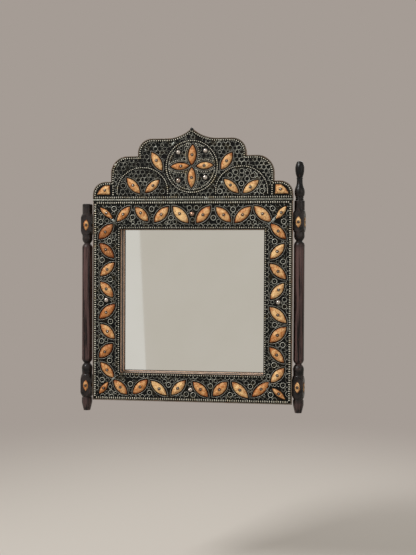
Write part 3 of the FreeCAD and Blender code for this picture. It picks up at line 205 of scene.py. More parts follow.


# Wood: streaks drawn out along one axis, darker pores; where asked, the reveal inside the opening made lighter
# as painted light, and a dark band at the glass that is partly painted shade and partly grime
def woodPaint(name, light, dark, along, rough=0.6, revealLightShadeAndGrime=False):
    paint = Paint(name)
    stretch = {"x": (0.04, 1, 1), "z": (1, 1, 0.04)}[along]
    streak = paint.noise(0.35, paint.place(*stretch), detail=5, rough=0.6, lacing=0.4)
    pores = paint.noise(2.2, paint.place(*stretch), detail=3, rough=0.6)
    cloud = paint.noise(0.018)
    dark = colour(*dark)
    worn = (streak.step(0.3, 0.7) * 0.7 + cloud.step(0.35, 0.65) * 0.4).clip()
    base = paint.blend(worn, colour(*light), dark)
    base = paint.blend(pores.step(0.58, 0.72) * 0.55, base, darker(dark, 0.4))
    # Reveal: lighter as painted light, and near the glass darker as painted shade and grime
    if revealLightShadeAndGrime:
        ragged = paint.axis("Y") + paint.noise(0.12, rough=0.6) * 7
        inner, level = (paint.axis(name).maths("ABSOLUTE").step(146.5, 145.5) for name in ("X", "Z"))
        inner = inner * level
        jointShadeAndGrime = ragged.step(-15, -9) * inner
        base = paint.over(base, (inner * 0.5, (240, 204, 176)), (jointShadeAndGrime, (18, 11, 8)))
    return paint.set(Base_Color=base, Roughness=pores.step(0.2, 0.8) * 0.2 + rough - 0.1,
                     Normal=paint.bump(streak * 0.6 + pores * 0.4, 0.25, 0.6))


# Ebonised posts: black blocks, dark red brown shafts, brown where the black has worn off
def postPaint():
    paint = Paint("ebonised_wood")
    high = paint.axis("Z")
    shaft = (high.step(-132, -112) * high.step(120, 100)).clip()
    foot = high.step(-190, -205) * 0.6
    streak = paint.noise(0.28, paint.place(1, 1, 0.022), detail=5, rough=0.7, lacing=0.2)
    patch = paint.noise(0.06, detail=5, rough=0.7)
    scuff = paint.noise(0.28, paint.place(1, 1, 0.4), detail=5, rough=0.75)
    black = paint.blend(patch.step(0.4, 0.7), colour(7, 7, 9), colour(16, 15, 17))
    brown = paint.blend(streak.step(0.43, 0.57), colour(15, 10, 11), colour(90, 68, 66))
    block = (1 - shaft) * high.step(226, 212) * patch.step(0.34, 0.6) * 0.75
    black = paint.over(black, (block, (54, 47, 46)))
    base = paint.over(
        paint.blend((shaft + foot).clip(), black, brown),
        (scuff.step(0.57, 0.70) * 0.55, (98, 64, 52)),
        (paint.noise(0.16, detail=3).step(0.75, 0.8) * 0.6, (120, 112, 104)))
    return paint.set(Base_Color=base, Roughness=streak.step(0.2, 0.8) * 0.16 + 0.3, Specular_IOR_Level=0.2,
                     Normal=paint.bump(streak * 0.7 + scuff * 0.3, 0.6, 0.8), Coat_Weight=0.08,
                     Coat_Roughness=0.25)


def plainPaint(name, tone, rough, metallic=0):
    paint = Paint(name)
    fine = paint.noise(0.5, rough=0.6)
    base = paint.blend(fine.step(0.3, 0.7), colour(*tone), darker(colour(*tone), 0.75))
    return paint.set(Base_Color=base, Metallic=metallic, Roughness=fine.step(0.2, 0.8) * 0.15 + rough,
                     Normal=paint.bump(fine, 0.1, 0.4))


# Domed studs: pale metal, copper at the middle of the top rail and at the crest's lower left
def studPaint():
    paint = Paint("stud_metal")
    across, high = paint.axis("X"), paint.axis("Z")
    copper = high.step(150, 155) * high.step(205, 200) * 0.75
    copper = copper + across.step(-10, -14) * high.step(205, 210) * high.step(264, 258) * 0.4
    fine = paint.noise(0.45, rough=0.65)
    base = paint.blend(fine.step(0.35, 0.7), colour(216, 206, 198), colour(150, 140, 132))
    worn = paint.blend(fine.step(0.35, 0.7), colour(186, 134, 98), colour(104, 72, 50))
    return paint.set(Base_Color=paint.blend(copper.clip(), base, worn), Metallic=0.75,
                     Roughness=fine.step(0.2, 0.8) * 0.14 + 0.17,
                     Normal=paint.bump(paint.noise(0.9), 0.12, 0.3))


def mirrorPaint():
    paint = Paint("mirror")
    cloud = paint.noise(0.012, detail=2)
    speck = paint.noise(0.25, detail=2).step(0.78, 0.82) * 0.5
    edge = paint.noise(0.08).step(0.4, 0.7)
    base = paint.blend(cloud.step(0.3, 0.7), colour(249, 248, 249), colour(247, 246, 246))
    return paint.set(Base_Color=paint.over(base, (speck * edge, (120, 112, 100))), Metallic=1,
                     Roughness=cloud.step(0.2, 0.8) * 0.02 + 0.02)


def linked(name, data):
    item = bpy.data.objects.new(name, data)
    bpy.context.scene.collection.objects.link(item)
    return item


# Mesh from a shell: points, quads, tris and named values per point
def addPiece(name, shell, paint, replaced=()):
    mesh = bpy.data.meshes.new(name)
    points, quads, tris, values = shell
    mesh.from_pydata(points / 1000, [], quads.tolist() + tris.tolist(), shade_flat=False)
    for key, row in values.items():
        layer = mesh.attributes.new(key, "FLOAT", "POINT")
        layer.data.foreach_set("value", np.asarray(row, np.float32))
    mesh.materials.append(paint)
    piece = linked(name, mesh)
    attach(piece, "mirror")
    if replaced:
        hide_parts(*replaced)


def joined(shells):
    points, quads, tris, values = zip(*shells)
    starts = np.cumsum([0] + [len(part) for part in points[:-1]])
    quads, tris = (np.concatenate([part + start for part, start in zip(parts, starts)])
                   for parts in (quads, tris))
    values = {key: np.concatenate([row[key] for row in values]) for key in values[0]}
    return np.concatenate(points), quads, tris, values


# A shell whose crown brightness, partly rubbed wear and partly painted highlight, is multiplied by a share
def crownsScaled(shell, share):
    return shell[:3] + ({"rub": shell[3]["rub"] * share},)


def fullTurn(count):
    return np.linspace(0, 2 * np.pi, count, endpoint=False)


def unit(turn):
    return np.stack([np.cos(turn), np.sin(turn)], -1)


def middleOf(points):
    return (points.min(0) + points.max(0)) / 2


# Quads of a grid of rows by columns, the columns closed into a loop if round, the rows if closed
def gridQuads(rows, columns, round=True, closed=False):
    row = np.arange(rows if closed else rows - 1)[:, None]
    column = np.arange(columns if round else columns - 1)[None, :]
    near, far = row * columns, (row + 1) % rows * columns
    side = (column + 1) % columns
    return np.stack([near + column, near + side, far + side, far + column], -1).reshape(-1, 4)


# Dome: ring k is the outline times share k, at its own height. Fans to a tip on the axis close the last ring
# and, where two tips are given, the first one too.
def dome(outline, rings, tips=None):
    shares, heights = (np.array(column)[:, None, None] for column in zip(*rings))
    tips = tips or [rings[-1][1]]
    points = np.concatenate([outline * shares, heights + np.zeros((len(outline), 1))], -1).reshape(-1, 3)
    step = np.arange(len(outline))
    ahead = (step + 1) % len(outline)
    low, high = np.full((2, len(step)), [[len(points)], [len(points) + len(tips) - 1]])
    last = len(points) - len(step)
    fans = [np.stack([ahead, step, low], -1), np.stack([last + step, last + ahead, high], -1)][-len(tips):]
    points = np.concatenate([points, [[0, 0, tip] for tip in tips]])
    return points, gridQuads(len(rings), len(step)), np.concatenate(fans)


# Turned form: a profile of radius and height carried round, closed at both ends on the axis
def lathe(profile, around=12):
    return dome(unit(fullTurn(around)), profile[1:-1], [profile[0][1], profile[-1][1]])


# Copies of a master on the face: its plan turned by the angle and moved to x and z, its height outward
def spread(master, x, z, angle=0, base=face, grow=1, lift=1):
    points, quads, tris = master
    angle, grow, lift = (np.broadcast_to(v, x.shape)[:, None] for v in (angle, grow, lift))
    a, b, h = points[:, 0] * grow, points[:, 1] * grow, points[:, 2] * lift
    cos, sin = np.cos(angle), np.sin(angle)
    world = np.stack([x[:, None] + a * cos - b * sin, -base - h, z[:, None] + a * sin + b * cos], -1)
    shift = (np.arange(len(x)) * len(points))[:, None, None]
    rub = np.tile(points[:, 2] / points[:, 2].max(), len(x))
    return world.reshape(-1, 3), (quads + shift).reshape(-1, 4), (tris + shift).reshape(-1, 3), {"rub": rub}


# Half-round wire on the face: path less across times cosine times radius, sine times rise high, for angles
# from 0 to half a turn; drawn down to nothing where not shown
def wire(path, radius, rise, closed=True, steps=6, shown=None):
    path = np.asarray(path, float)
    shown = np.ones(len(path)) if shown is None else np.asarray(shown, float)
    tangent = np.roll(path, -1, 0) - np.roll(path, 1, 0) if closed else np.gradient(path, axis=0)
    tangent /= np.linalg.norm(tangent, axis=1)[:, None]
    across = np.stack([-tangent[:, 1], tangent[:, 0]], -1)
    angle = np.linspace(0, np.pi, steps)
    flat = path[:, None] - across[:, None] * np.cos(angle)[None, :, None] * radius * shown[:, None, None]
    high = np.sin(angle)[None] * rise * shown[:, None]
    world = np.stack([flat[..., 0], -face - high, flat[..., 1]], -1).reshape(-1, 3)
    quads = gridQuads(len(path), steps, round=False, closed=closed)[:, ::-1]
    live = shown + np.roll(shown, -1) > 0
    quads = quads[np.repeat(live if closed else live[:-1], steps - 1)]
    fan = np.array([[0, k, k + 1] for k in range(1, steps - 1)])
    ends = np.concatenate([fan, (fan + (len(path) - 1) * steps)[:, ::-1]])
    tris = np.zeros((0, 3), int) if closed else ends
    return world, quads, tris, {"rub": np.repeat(np.sin(angle)[None], len(path), 0).ravel()}


# Rings as grids: reach times cosine and sine of the turn round each centre, squashed
def ringGrid(x, z, reach, high, turn, squash):
    count, around, steps = high.shape
    points = np.stack([x[:, None, None] + reach * np.cos(turn)[..., None] * (1 + squash), -face - high,
                       z[:, None, None] + reach * np.sin(turn)[..., None] * (1 - squash)], -1).reshape(-1, 3)
    shift = (np.arange(count) * around * steps)[:, None, None]
    return points, gridQuads(around, steps, round=False, closed=True)[:, ::-1] + shift


# Raised rings: radius plus thick times cosine from the centre, sine times rise high
def ringShells(x, z, radius, thick, rise, around=26, steps=6):
    angle = np.linspace(0, np.pi, steps)
    high = np.broadcast_to(np.sin(angle) * rise, (len(x), around, steps))
    points, quads = ringGrid(x, z, radius + thick * np.cos(angle), high, fullTurn(around), 0)
    return points, quads.reshape(-1, 4), np.zeros((0, 3), int), {"rub": np.tile(np.sin(angle), around * len(x))}


def circlePath(centre, radius, count=96):
    return centre + radius * unit(fullTurn(count))


# Path as an array with the length run at each point
def measured(path, closed):
    path = np.asarray(path, float)
    if closed:
        path = np.concatenate([path, path[:1]])
    return path, np.concatenate([[0], np.cumsum(np.linalg.norm(np.diff(path, axis=0), axis=1))])


def pointsAt(path, run, where):
    return np.stack([np.interp(where, run, path[:, 0]), np.interp(where, run, path[:, 1])], -1)


# Places at an even pitch along a path, and the direction at each
def paced(path, pitch, closed=True, inset=0):
    path, run = measured(path, closed)
    total = run[-1] - 2 * inset
    count = max(int(round(total / pitch)), 1)
    where = inset + (np.arange(count) + (0 if closed else 0.5)) * total / count
    back, ahead = (pointsAt(path, run, np.clip(where + away, 0, run[-1])) for away in (-0.4, 0.4))
    x, z = pointsAt(path, run, where).T
    return x, z, np.arctan2(*(ahead - back).T[::-1])


# Path with points closer together, so that wires bend smoothly
def refined(path, gap, closed=False):
    path, run = measured(path, closed)
    where = np.linspace(0, run[-1], max(int(run[-1] / gap), 2) + 1)
    return pointsAt(path, run, where[:-1] if closed else where)


# Waviness of hammered wire: a mean of three sines of the step, across the path
def wavy(path, amount):
    step = np.arange(len(path))
    shift = sum(np.sin(step / span + random.uniform(0, 6.28)) for span in (3.1, 7.7, 1.3))
    across = np.gradient(path, axis=0)[:, ::-1] * (-1, 1)
    across /= np.maximum(np.linalg.norm(across, axis=1), 1e-9)[:, None]
    return path + across * (shift * amount / 3)[:, None]


# Outline of a leaf from tip to tip: two arcs of one radius, grown all round
def lensPath(length, width, grow=0, count=28):
    radius = (length ** 2 + width ** 2) / (4 * width)
    drop = radius - width / 2
    radius += grow
    half = np.arccos(drop / radius)
    upper = radius * unit(np.linspace(np.pi / 2 - half, np.pi / 2 + half, count + 1)[:-1]) - (0, drop)
    return np.concatenate([upper, -upper])


def turned(path, x, z, angle):
    cos, sin = math.cos(angle), math.sin(angle)
    return np.stack([x + path[:, 0] * cos - path[:, 1] * sin, z + path[:, 0] * sin + path[:, 1] * cos], -1)


# Loose solids of a node, as lists of their points in millimetres
def islands(name):
    mesh = nodes[name].data
    points = np.array([vertex.co for vertex in mesh.vertices], float)
    unique, index = np.unique(np.round(points * 1000, 3), axis=0, return_inverse=True)
    first, second = index.ravel()[[edge.vertices[:] for edge in mesh.edges]].T
    label = np.arange(len(unique))
    while True:
        low = np.minimum(label[first], label[second])
        fresh = label.copy()
        np.minimum.at(fresh, first, low)
        np.minimum.at(fresh, second, low)
        fresh = fresh[fresh]
        if (fresh == label).all():
            return [unique[label == k] for k in np.unique(label)]
        label = fresh


# A flat leaf's place: middle of its base, long, cross and outward directions, length and width
def leafPlace(points, outward):
    offsets = points - points.mean(0)
    thin = np.linalg.eigh(offsets.T @ offsets)[1][:, 0]
    thin = thin if thin @ np.asarray(outward, float) > 0 else -thin
    flat = points - np.outer(points @ thin, thin)
    gaps = np.linalg.norm(flat[:, None] - flat[None], axis=2)
    one, two = np.unravel_index(gaps.argmax(), gaps.shape)
    long = (flat[two] - flat[one]) / gaps.max()
    cross = np.cross(thin, long)
    origin = (flat[one] + flat[two]) / 2 + thin * (points @ thin).min()
    return {"origin": origin, "axes": np.stack([long, cross, thin]), "length": gaps.max(),
            "width": np.ptp(points @ cross), "thick": np.ptp(points @ thin)}


def aim(item, place, direction, roll=0):
    item.location = place
    turn = Vector(direction).to_track_quat("-Z", "Y").to_matrix().to_4x4()
    item.rotation_mode = "QUATERNION"
    item.rotation_quaternion = (turn @ Matrix.Rotation(math.radians(roll), 4, "Z")).to_quaternion()


camera = {"place": (0.227, -1.604, 0.0707), "forward": (-0.1222, 0.9924, -0.0143), "roll": 0.29,
          "lens": 51.89}


def makeCamera():
    data = bpy.data.cameras.new("camera")
    data.sensor_width = 36
    data.lens = camera["lens"]
    item = linked("camera", data)
    aim(item, camera["place"], camera["forward"], camera["roll"])
    bpy.context.scene.camera = item


room = {
    "tone": colour(206, 200, 192), "sky": 0.46, "shown": colour(165, 156, 149),
    "seen": colour(190, 185, 173), "floor": -0.62, "reach": 6, "fade": (0.7, 2.2),
    "card": {"left": -1.75, "foot": -0.696, "head": -0.807, "near": -3, "top": 1.6,
             "tone": colour(208, 206, 197)},
    "lamps": {
        "key": {"place": (-1.6, -2, 2.3), "power": 88, "size": 0.7},
        "fill": {"place": (2.3, -2, 0.8), "power": 12, "size": 1.8},
        "back": {"place": (0.6, 2.2, 1.6), "power": 30, "size": 1.8},
    },
}


# Glow of a plain tone, for what the lens and the mirror see of the room
def glow(tree, tone, kind="Emission"):
    node = tree.nodes.new("ShaderNode" + kind)
    plug(tree, node.inputs["Color"], tone)
    return node.outputs[0]


# 1 for rays of the named kinds, else 0
def rayShare(tree, *kinds):
    rays = tree.nodes.new("ShaderNodeLightPath")
    share = Flow(tree, rays.outputs[kinds[0]])
    for kind in kinds[1:]:
        share = share.maths("MAXIMUM", Flow(tree, rays.outputs[kind]))
    return share


# The first surface where the share is 0, the second where it is 1
def mixed(tree, share, first, second):
    node = tree.nodes.new("ShaderNodeMixShader")
    plug(tree, node.inputs[0], share)
    tree.links.new(first, node.inputs[1])
    tree.links.new(second, node.inputs[2])
    return node.outputs[0]


def makeRoom():
    world = bpy.data.worlds.new("studio")
    bpy.context.scene.world = world
    world.use_nodes = True
    tree = world.node_tree
    back = tree.nodes["Background"]
    plug(tree, back.inputs["Color"], room["tone"])
    plug(tree, back.inputs["Strength"], room["sky"])
    shown, seen = (glow(tree, room[name], "Background") for name in ("shown", "seen"))
    mirrored = mixed(tree, rayShare(tree, "Is Glossy Ray", "Is Transmission Ray"), back.outputs[0], seen)
    sky = mixed(tree, rayShare(tree, "Is Camera Ray"), mirrored, shown)
    tree.links.new(sky, tree.nodes["World Output"].inputs["Surface"])
    for name, lamp in room["lamps"].items():
        data = bpy.data.lights.new(name, "AREA")
        data.energy = lamp["power"]
        data.size = lamp["size"]
        aim(linked(name, data), lamp["place"], -Vector(lamp["place"]))


# A stage sheet from four corners, in metres
def stageSheet(name, corners, material):
    mesh = bpy.data.meshes.new(name)
    mesh.from_pydata(corners, [], [(0, 1, 2, 3)])
    mesh.materials.append(material)
    item = linked(name, mesh)
    return item


# The floor takes light and shadow and fades, well away from the piece, into the plain backdrop
def makeFloor():
    paint = Paint("floor_paint")
    paint.set(Base_Color=room["tone"], Roughness=0.9)
    tree = paint.tree
    away = paint.make("VectorMath", 1, {"operation": "LENGTH"}, Vector=paint.place())
    share = (away * 0.001).step(*room["fade"])
    shown = mixed(tree, share, paint.shader.outputs[0], glow(tree, room["shown"]))
    mirrored = rayShare(tree, "Is Glossy Ray", "Is Transmission Ray")
    seen = mixed(tree, mirrored, shown, glow(tree, room["seen"]))
    tree.links.new(seen, tree.nodes["Material Output"].inputs["Surface"])
    far, low = room["reach"], room["floor"]
    corners = [(-far, -far, low), (far, -far, low), (far, far, low), (-far, far, low)]
    stageSheet("floor", corners, paint.material)


# A pale card off to the left, which only the mirror sees
def makeCard():
    card = room["card"]
    paint = Paint("card_paint")
    surface = paint.tree.nodes["Material Output"].inputs["Surface"]
    paint.tree.links.new(glow(paint.tree, card["tone"]), surface)
    near, low, top = card["near"], room["floor"], card["top"]
    item = stageSheet("card", [(card["left"], near, low), (card["foot"], near, low),
                               (card["head"], near, top), (card["left"], near, top)], paint.material)
    item.visible_camera = item.visible_diffuse = item.visible_shadow = False


makeCamera()
makeRoom()
makeFloor()
makeCard()
bpy.context.scene.view_settings.view_transform = "Standard"
print("camera and room done")

# Metals: tones of the hollows, the crowns and the warm patches, roughness, metallic share, sheen, whether the
# crowns are brightened by the crown attribute (partly rubbed wear, partly painted highlight), and how much of
# the crown's tone lies all over
metals = {
    "raised_metal": ((10, 11, 10), (226, 222, 206), (208, 182, 126), 0.34, 0.5, 0.2),
    "ring_metal": ((8, 9, 8), (214, 214, 202), (164, 154, 124), 0.36, 0.5, 0.2),
    "smooth_wire": ((10, 11, 10), (168, 166, 158), (150, 134, 108), 0.36, 0.5, 0.25),
    "edge_metal": ((20, 18, 16), (120, 108, 94), (122, 80, 60), 0.42, 0.45, 0.25),
    # nail heads: dark, with a small bright crown that is a painted highlight
    "nail_metal": ((8, 6, 6), (190, 178, 170), (150, 112, 94), 0.16, 0.8, 0.3),
    "solder": ((84, 88, 84), (196, 200, 194), (150, 150, 140), 0.3, 0.8, 0.5, False),
    "dark_sheet": ((9, 10, 10), (30, 31, 29), (112, 96, 62), 0.62, 0.1, 0.12, False, 0),
    "seam_metal": ((44, 46, 42), (196, 196, 184), (132, 104, 84), 0.34, 0.7, 0.3, False, 0.2),
    "lozenge_nail_metal": ((44, 36, 33), (120, 106, 98), (96, 66, 54), 0.34, 0.7, 0.5, False),
    "fastener_steel": ((96, 94, 90), (158, 154, 146), (132, 96, 66), 0.34, 0.9, 0.5, False),
    "hanger_iron": ((52, 48, 46), (104, 98, 92), (120, 72, 46), 0.42, 0.85, 0.5, False),
}
metals = {name: metalPaint(name, *row) for name, row in metals.items()}
bone = bonePaint()

# Paints of the solids that stay as they are, each with the endings of its nodes' names
woodTones = ((178, 140, 106), (116, 84, 60))
cadCoats = (
    (metals["dark_sheet"], ("_sheet",)),
    (metals["seam_metal"], ("seam_wire",)),
    (studPaint(), ("_studs",)),
    (metals["lozenge_nail_metal"], ("lozenge_nails",)),
    (metals["fastener_steel"], ("panel_pins", "batten_screws")),
    (metals["hanger_iron"], ("hanger_staple", "hanging_ring")),
    (woodPaint("wood_across", *woodTones, "x", revealLightShadeAndGrime=True), ("_rail", "crest_board")),
    (woodPaint("wood_upright", *woodTones, "z", revealLightShadeAndGrime=True), ("_stile",)),
    (woodPaint("batten_wood", (158, 120, 84), (104, 74, 50), "z"), ("_batten", "corner_keys")),
    (woodPaint("panel_wood", (184, 146, 104), (134, 98, 66), "z", rough=0.7), ("back_panel",)),
    (woodPaint("peg_wood", (176, 146, 106), (132, 104, 72), "z"), ("_dowels",)),
    (postPaint(), ("_post", "right_finial")),
    (mirrorPaint(), ("mirror_glass",)),
    (plainPaint("paper", (176, 164, 140), 0.85), ("backing_paper",)),
)
for coat, endings in cadCoats:
    for slot in (slot for name in nodes if name.endswith(endings) for slot in nodes[name].material_slots):
        slot.material = coat
print("materials done")

# Bone leaves: the direction in which a row is counted, then each leaf's length, width and tone as read off
# the photo. A higher tone is darker.
leafRows = {
    "top_bone_leaves": ((1, 0),
        (39.4, 15.6, 0.75), (37.6, 16.9, 0.55), (41.6, 17.5, 0.6), (45, 18.6, 0.1), (42.4, 18.6, 0.7),
        (40.6, 17.9, 0.55), (44.2, 18.6, 0.65), (44.4, 19.2, 0.4)),
    "left_bone_leaves": ((0, 1),
        (40.4, 16.5, 0.75), (38.6, 18.8, 1.1), (40.8, 17.5, 0.65), (43.6, 18, 1), (39.8, 17.7, 0.65),
        (39.2, 16.2, 0.7), (40.8, 17.5, 1.35), (40.6, 18.4, 1.3)),
    "right_bone_leaves": ((0, -1),
        (42.2, 16.2, 0.75), (39.8, 16.9, 0.35), (43.4, 17.5, 0.6), (40.6, 16.9, 0.2), (45, 18.4, 0.38),
        (44, 19.7, 0.72), (40.8, 16.4, 0.6), (38.2, 16.4, 0.45)),
    "bottom_bone_leaves": ((-1, 0),
        (45, 16.2, 0.88), (44.6, 17.5, 0.35), (39, 19, 0.7), (42, 17.5, 0.68), (40, 16.5, 0.3),
        (42.8, 16.4, 0.18), (40.6, 17.9, 0.85), (39.2, 17.1, 0.65)),
    "corner_bone_leaves": ((1, 0.1),
        (30.6, 10.8, 0.95), (35, 10.6, 0.65), (33.8, 10.8, 0.65), (33.4, 11.2, 0.27)),
    "crest_flower_petals": ((1, 0.1),
        (37, 13.5, 0.8), (40.6, 14.9, 0.65), (40.4, 15.8, 0.95), (34, 13.3, 0.5)),
    "crest_upper_leaves": ((1, 0),
        (41.6, 16.2, 0.4), (38.8, 16.7, 0.5)),
    "crest_lower_leaves": ((1, 0),
        (40.8, 16, 0.65), (37, 14.5, 0.4), (39.6, 14.9, 0.45), (38.6, 15.6, 0.25)),
}
# Rings of a bone plate: share of the outline, share of the thickness
boneRings = ((1, 0), (1, 0.34), (0.97, 0.52), (0.92, 0.66), (0.84, 0.78), (0.73, 0.88), (0.60, 0.95),
             (0.46, 1), (0.32, 1.02), (0.18, 1.04), (0.06, 1.04))
nailSpots = np.array([points.mean(0) for name in ("frame_bone_nails", "crest_bone_nails", "lozenge_nails")
                      for points in islands(name)])
leaves = []  # every flat leaf on the face: x, z, angle, length, width, node


# Bone plate on an outline: a dome laid in the leaf's own axes. Rim is 1 less the ring's share, tip the
# distance from the middle as a share of the half length, nail the distance from the nail's axis.
def bonePlate(outline, place, tone):
    points, quads, tris = dome(outline, [(share, high * place["thick"]) for share, high in boneRings])
    share = np.append(np.repeat([ring[0] for ring in boneRings], len(outline)), 0)
    origin, axes = place["origin"], place["axes"]
    world = origin + points @ axes
    fromNail = world - nailSpots[np.linalg.norm(nailSpots - origin, axis=1).argmin()]
    values = {"rim": 1 - share, "tip": np.abs(points[:, 0]) / np.abs(outline[:, 0]).max(),
              "nail": np.linalg.norm(fromNail - np.outer(fromNail @ axes[2], axes[2]), axis=1),
              "tone": np.full(len(world), tone)}
    return world, quads, tris, values


# Hand-cut outline: the two arcs with a little waviness and a length of their own
def handCut(length, width, wobble=0.25):
    path = lensPath(length, width)
    turn = fullTurn(len(path))
    shift = sum(random.normal(0, wobble / k) * np.cos(k * turn + random.uniform(0, 6.28)) for k in (2, 3, 4))
    path[:, 1] += shift * 0.8
    path[:, 0] *= 1 + random.normal(0, 0.006)
    return path


def bonePiece(name, shells, node):
    addPiece(name, joined(shells), bone, (node,))


for name, (order, *row) in leafRows.items():
    places = [leafPlace(points, (0, -1, 0)) for points in islands(name)]
    places.sort(key=lambda place: place["origin"][[0, 2]] @ order)
    shells = []
    for place, (length, width, tone) in zip(places, row):
        shells.append(bonePlate(handCut(length, width), place, tone))
        angle = math.atan2(place["axes"][0][2], place["axes"][0][0])
        leaves.append((place["origin"][0], place["origin"][2], angle, length, width, name))
    bonePiece(name.replace("_bone", "") + "_cut", shells, name)


# Arc of a given radius from one point to another, bulging to the left of travel for a positive radius
def arcBetween(start, stop, radius, count):
    start, stop = np.asarray(start, float), np.asarray(stop, float)
    chord = stop - start
    length = np.linalg.norm(chord)
    side = np.array([chord[1], -chord[0]]) / length * math.copysign(1, radius)
    centre = (start + stop) / 2 + side * math.sqrt(radius ** 2 - length ** 2 / 4)
    first, last = (math.atan2(*(spot - centre)[::-1]) for spot in (start, stop))
    sweep = (last - first + math.pi) % (2 * math.pi) - math.pi
    return centre + abs(radius) * unit(first + np.linspace(0, 1, count) * sweep)


def straight(start, stop, count):
    return np.stack([np.linspace(a, b, count)[:-1] for a, b in zip(start, stop)], -1)


# Corner fans: a straight base and inner side, a short flat top, a bowed outer side, as shares of the width
fan = {"flat": 0.415, "bow": 1.3, "lean": 0.8, "middle": (0.38, 0.42), "thick": 2.4, "tone": 0.45}
shells = []
for points in islands("crest_corner_fans"):
    (left, _, foot), (right, _, top) = points.min(0), points.max(0)
    side = 1 if left > 0 else -1
    inner, outer = (left, right) if side > 0 else (right, left)
    wide = abs(outer - inner)
    lean, flat = inner + side * fan["lean"], inner + side * wide * fan["flat"]
    bow = arcBetween((flat, top), (outer, foot), side * wide * fan["bow"], 14)
    corners = np.concatenate([straight((outer, foot), (inner, foot), 12),
                              straight((inner, foot), (lean, top), 8),
                              straight((lean, top), (flat, top), 6), bow[:-1]])
    if side > 0:
        corners = corners[::-1]
    middle = np.array([inner + side * wide * fan["middle"][0], foot + (top - foot) * fan["middle"][1]])
    place = {"origin": np.array([middle[0], -face, middle[1]]),
             "axes": np.array([[1, 0, 0], [0, 0, 1], [0, -1, 0]], float), "thick": fan["thick"]}
    shells.append(bonePlate(corners - middle, place, fan["tone"]))
bonePiece("crest_fans_cut", shells, "crest_corner_fans")

# Lozenges on the posts
for side, tone in (("left", 0.8), ("right", 0.35)):
    axis = middleOf(np.array(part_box(side + "_post")) * 1000)
    shells = []
    for points in islands(side + "_post_lozenges"):
        place = leafPlace(points, (points.mean(0) - axis) * (1, 1, 0))
        shells.append(bonePlate(handCut(place["length"], place["width"], 0.15), place, tone))
    bonePiece(side + "_lozenges_cut", shells, side + "_post_lozenges")
print("bone done")

# The crest: three steps with round shoulders, then the sweep from a foot to the peak; circle and arches
crest = {"walls": (200.5, 163.5, 108.5), "tops": (238.7, 289.2, 323.7), "rounds": (26, 34, 28),
         "foot": 49.9, "sweep": 69.8, "circle": (0, 267.7), "ring": 51.2, "arches": 99.2,
         "archHeight": 219.7, "archWide": 51.2, "archTall": (46.6, 48), "archFoot": 211.7}


# Outline of the crest drawn in by an inset: quarter circles of the rounding less the inset, then an arc
def crestPath(inset, low):
    runs = [np.array([[crest["walls"][0] - inset, low]])]
    quarter = unit(np.radians(np.linspace(0, 90, 13)))
    for k, (wall, top, rounding) in enumerate(zip(crest["walls"], crest["tops"], crest["rounds"])):
        runs.append((wall - rounding, top - rounding) + (rounding - inset) * quarter)
        if k < 2:
            runs.append(np.array([[crest["walls"][k + 1] - inset, top - inset]]))
    x = np.linspace(crest["foot"], 0, 15)
    swing = np.sqrt((crest["sweep"] + inset) ** 2 - (crest["foot"] - x) ** 2)
    runs.append(np.stack([x, crest["tops"][2] + crest["sweep"] - swing], -1))
    right = np.concatenate(runs)
    return np.concatenate([right, (right * (-1, 1))[-2::-1]])


# Four sides of a square, its two upper corners lifted
def sidesOf(half, lift=0):
    square = np.array([[half, -half], [half, half + lift], [-half, half + lift], [-half, -half]])
    return [np.stack([square[k], square[(k + 1) % 4]]) for k in range(4)]


# Each arch: half an ellipse on two straight feet
def archPaths():
    half = unit(np.radians(np.linspace(0, 180, 60)))
    foot = np.array([[crest["archWide"], crest["archFoot"] - crest["archHeight"]]])
    for side, tall in zip((-1, 1), crest["archTall"]):
        path = np.concatenate([foot, half * (crest["archWide"], tall), foot * (-1, 1)])
        yield path + (side * crest["arches"], crest["archHeight"])


# Pill-shaped bead: a stadium outline with round shoulders
def beadMaster(half, radius, rise):
    cap = (half - radius, 0) + radius * unit(np.linspace(-np.pi / 2, np.pi / 2, 6))
    rings = [(1, 0), (0.94, rise * 0.5), (0.74, rise * 0.84), (0.4, rise)]
    return dome(np.concatenate([cap, -cap]), rings)


def metalPiece(name, shell, replaced=(), metal="raised_metal"):
    addPiece(name, shell, metals[metal], replaced)


bar = beadMaster(2.15, 1.1, 1.5)
shortBar = beadMaster(1.55, 1.05, 1.4)
dot = beadMaster(1.3, 1.2, 1.45)
rowSizes = {"pitch": 4.35, "dotPitch": 3.9, "high": 0.45, "bandRub": 0.4, "outer": 195, "inner": 146.8,
            "base": 206.9, "baseHalf": 197.6, "lift": 1.4, "rimInset": 4.4, "rimFoot": 209.6, "step": 4,
            "lean": 0.05, "stray": 0.1, "vary": 0.05, "press": (0.85, 1), "sunk": 0.35}
base = np.array([[-rowSizes["baseHalf"], rowSizes["base"]], [rowSizes["baseHalf"], rowSizes["base"]]])
pitch, dotPitch = rowSizes["pitch"], rowSizes["dotPitch"]

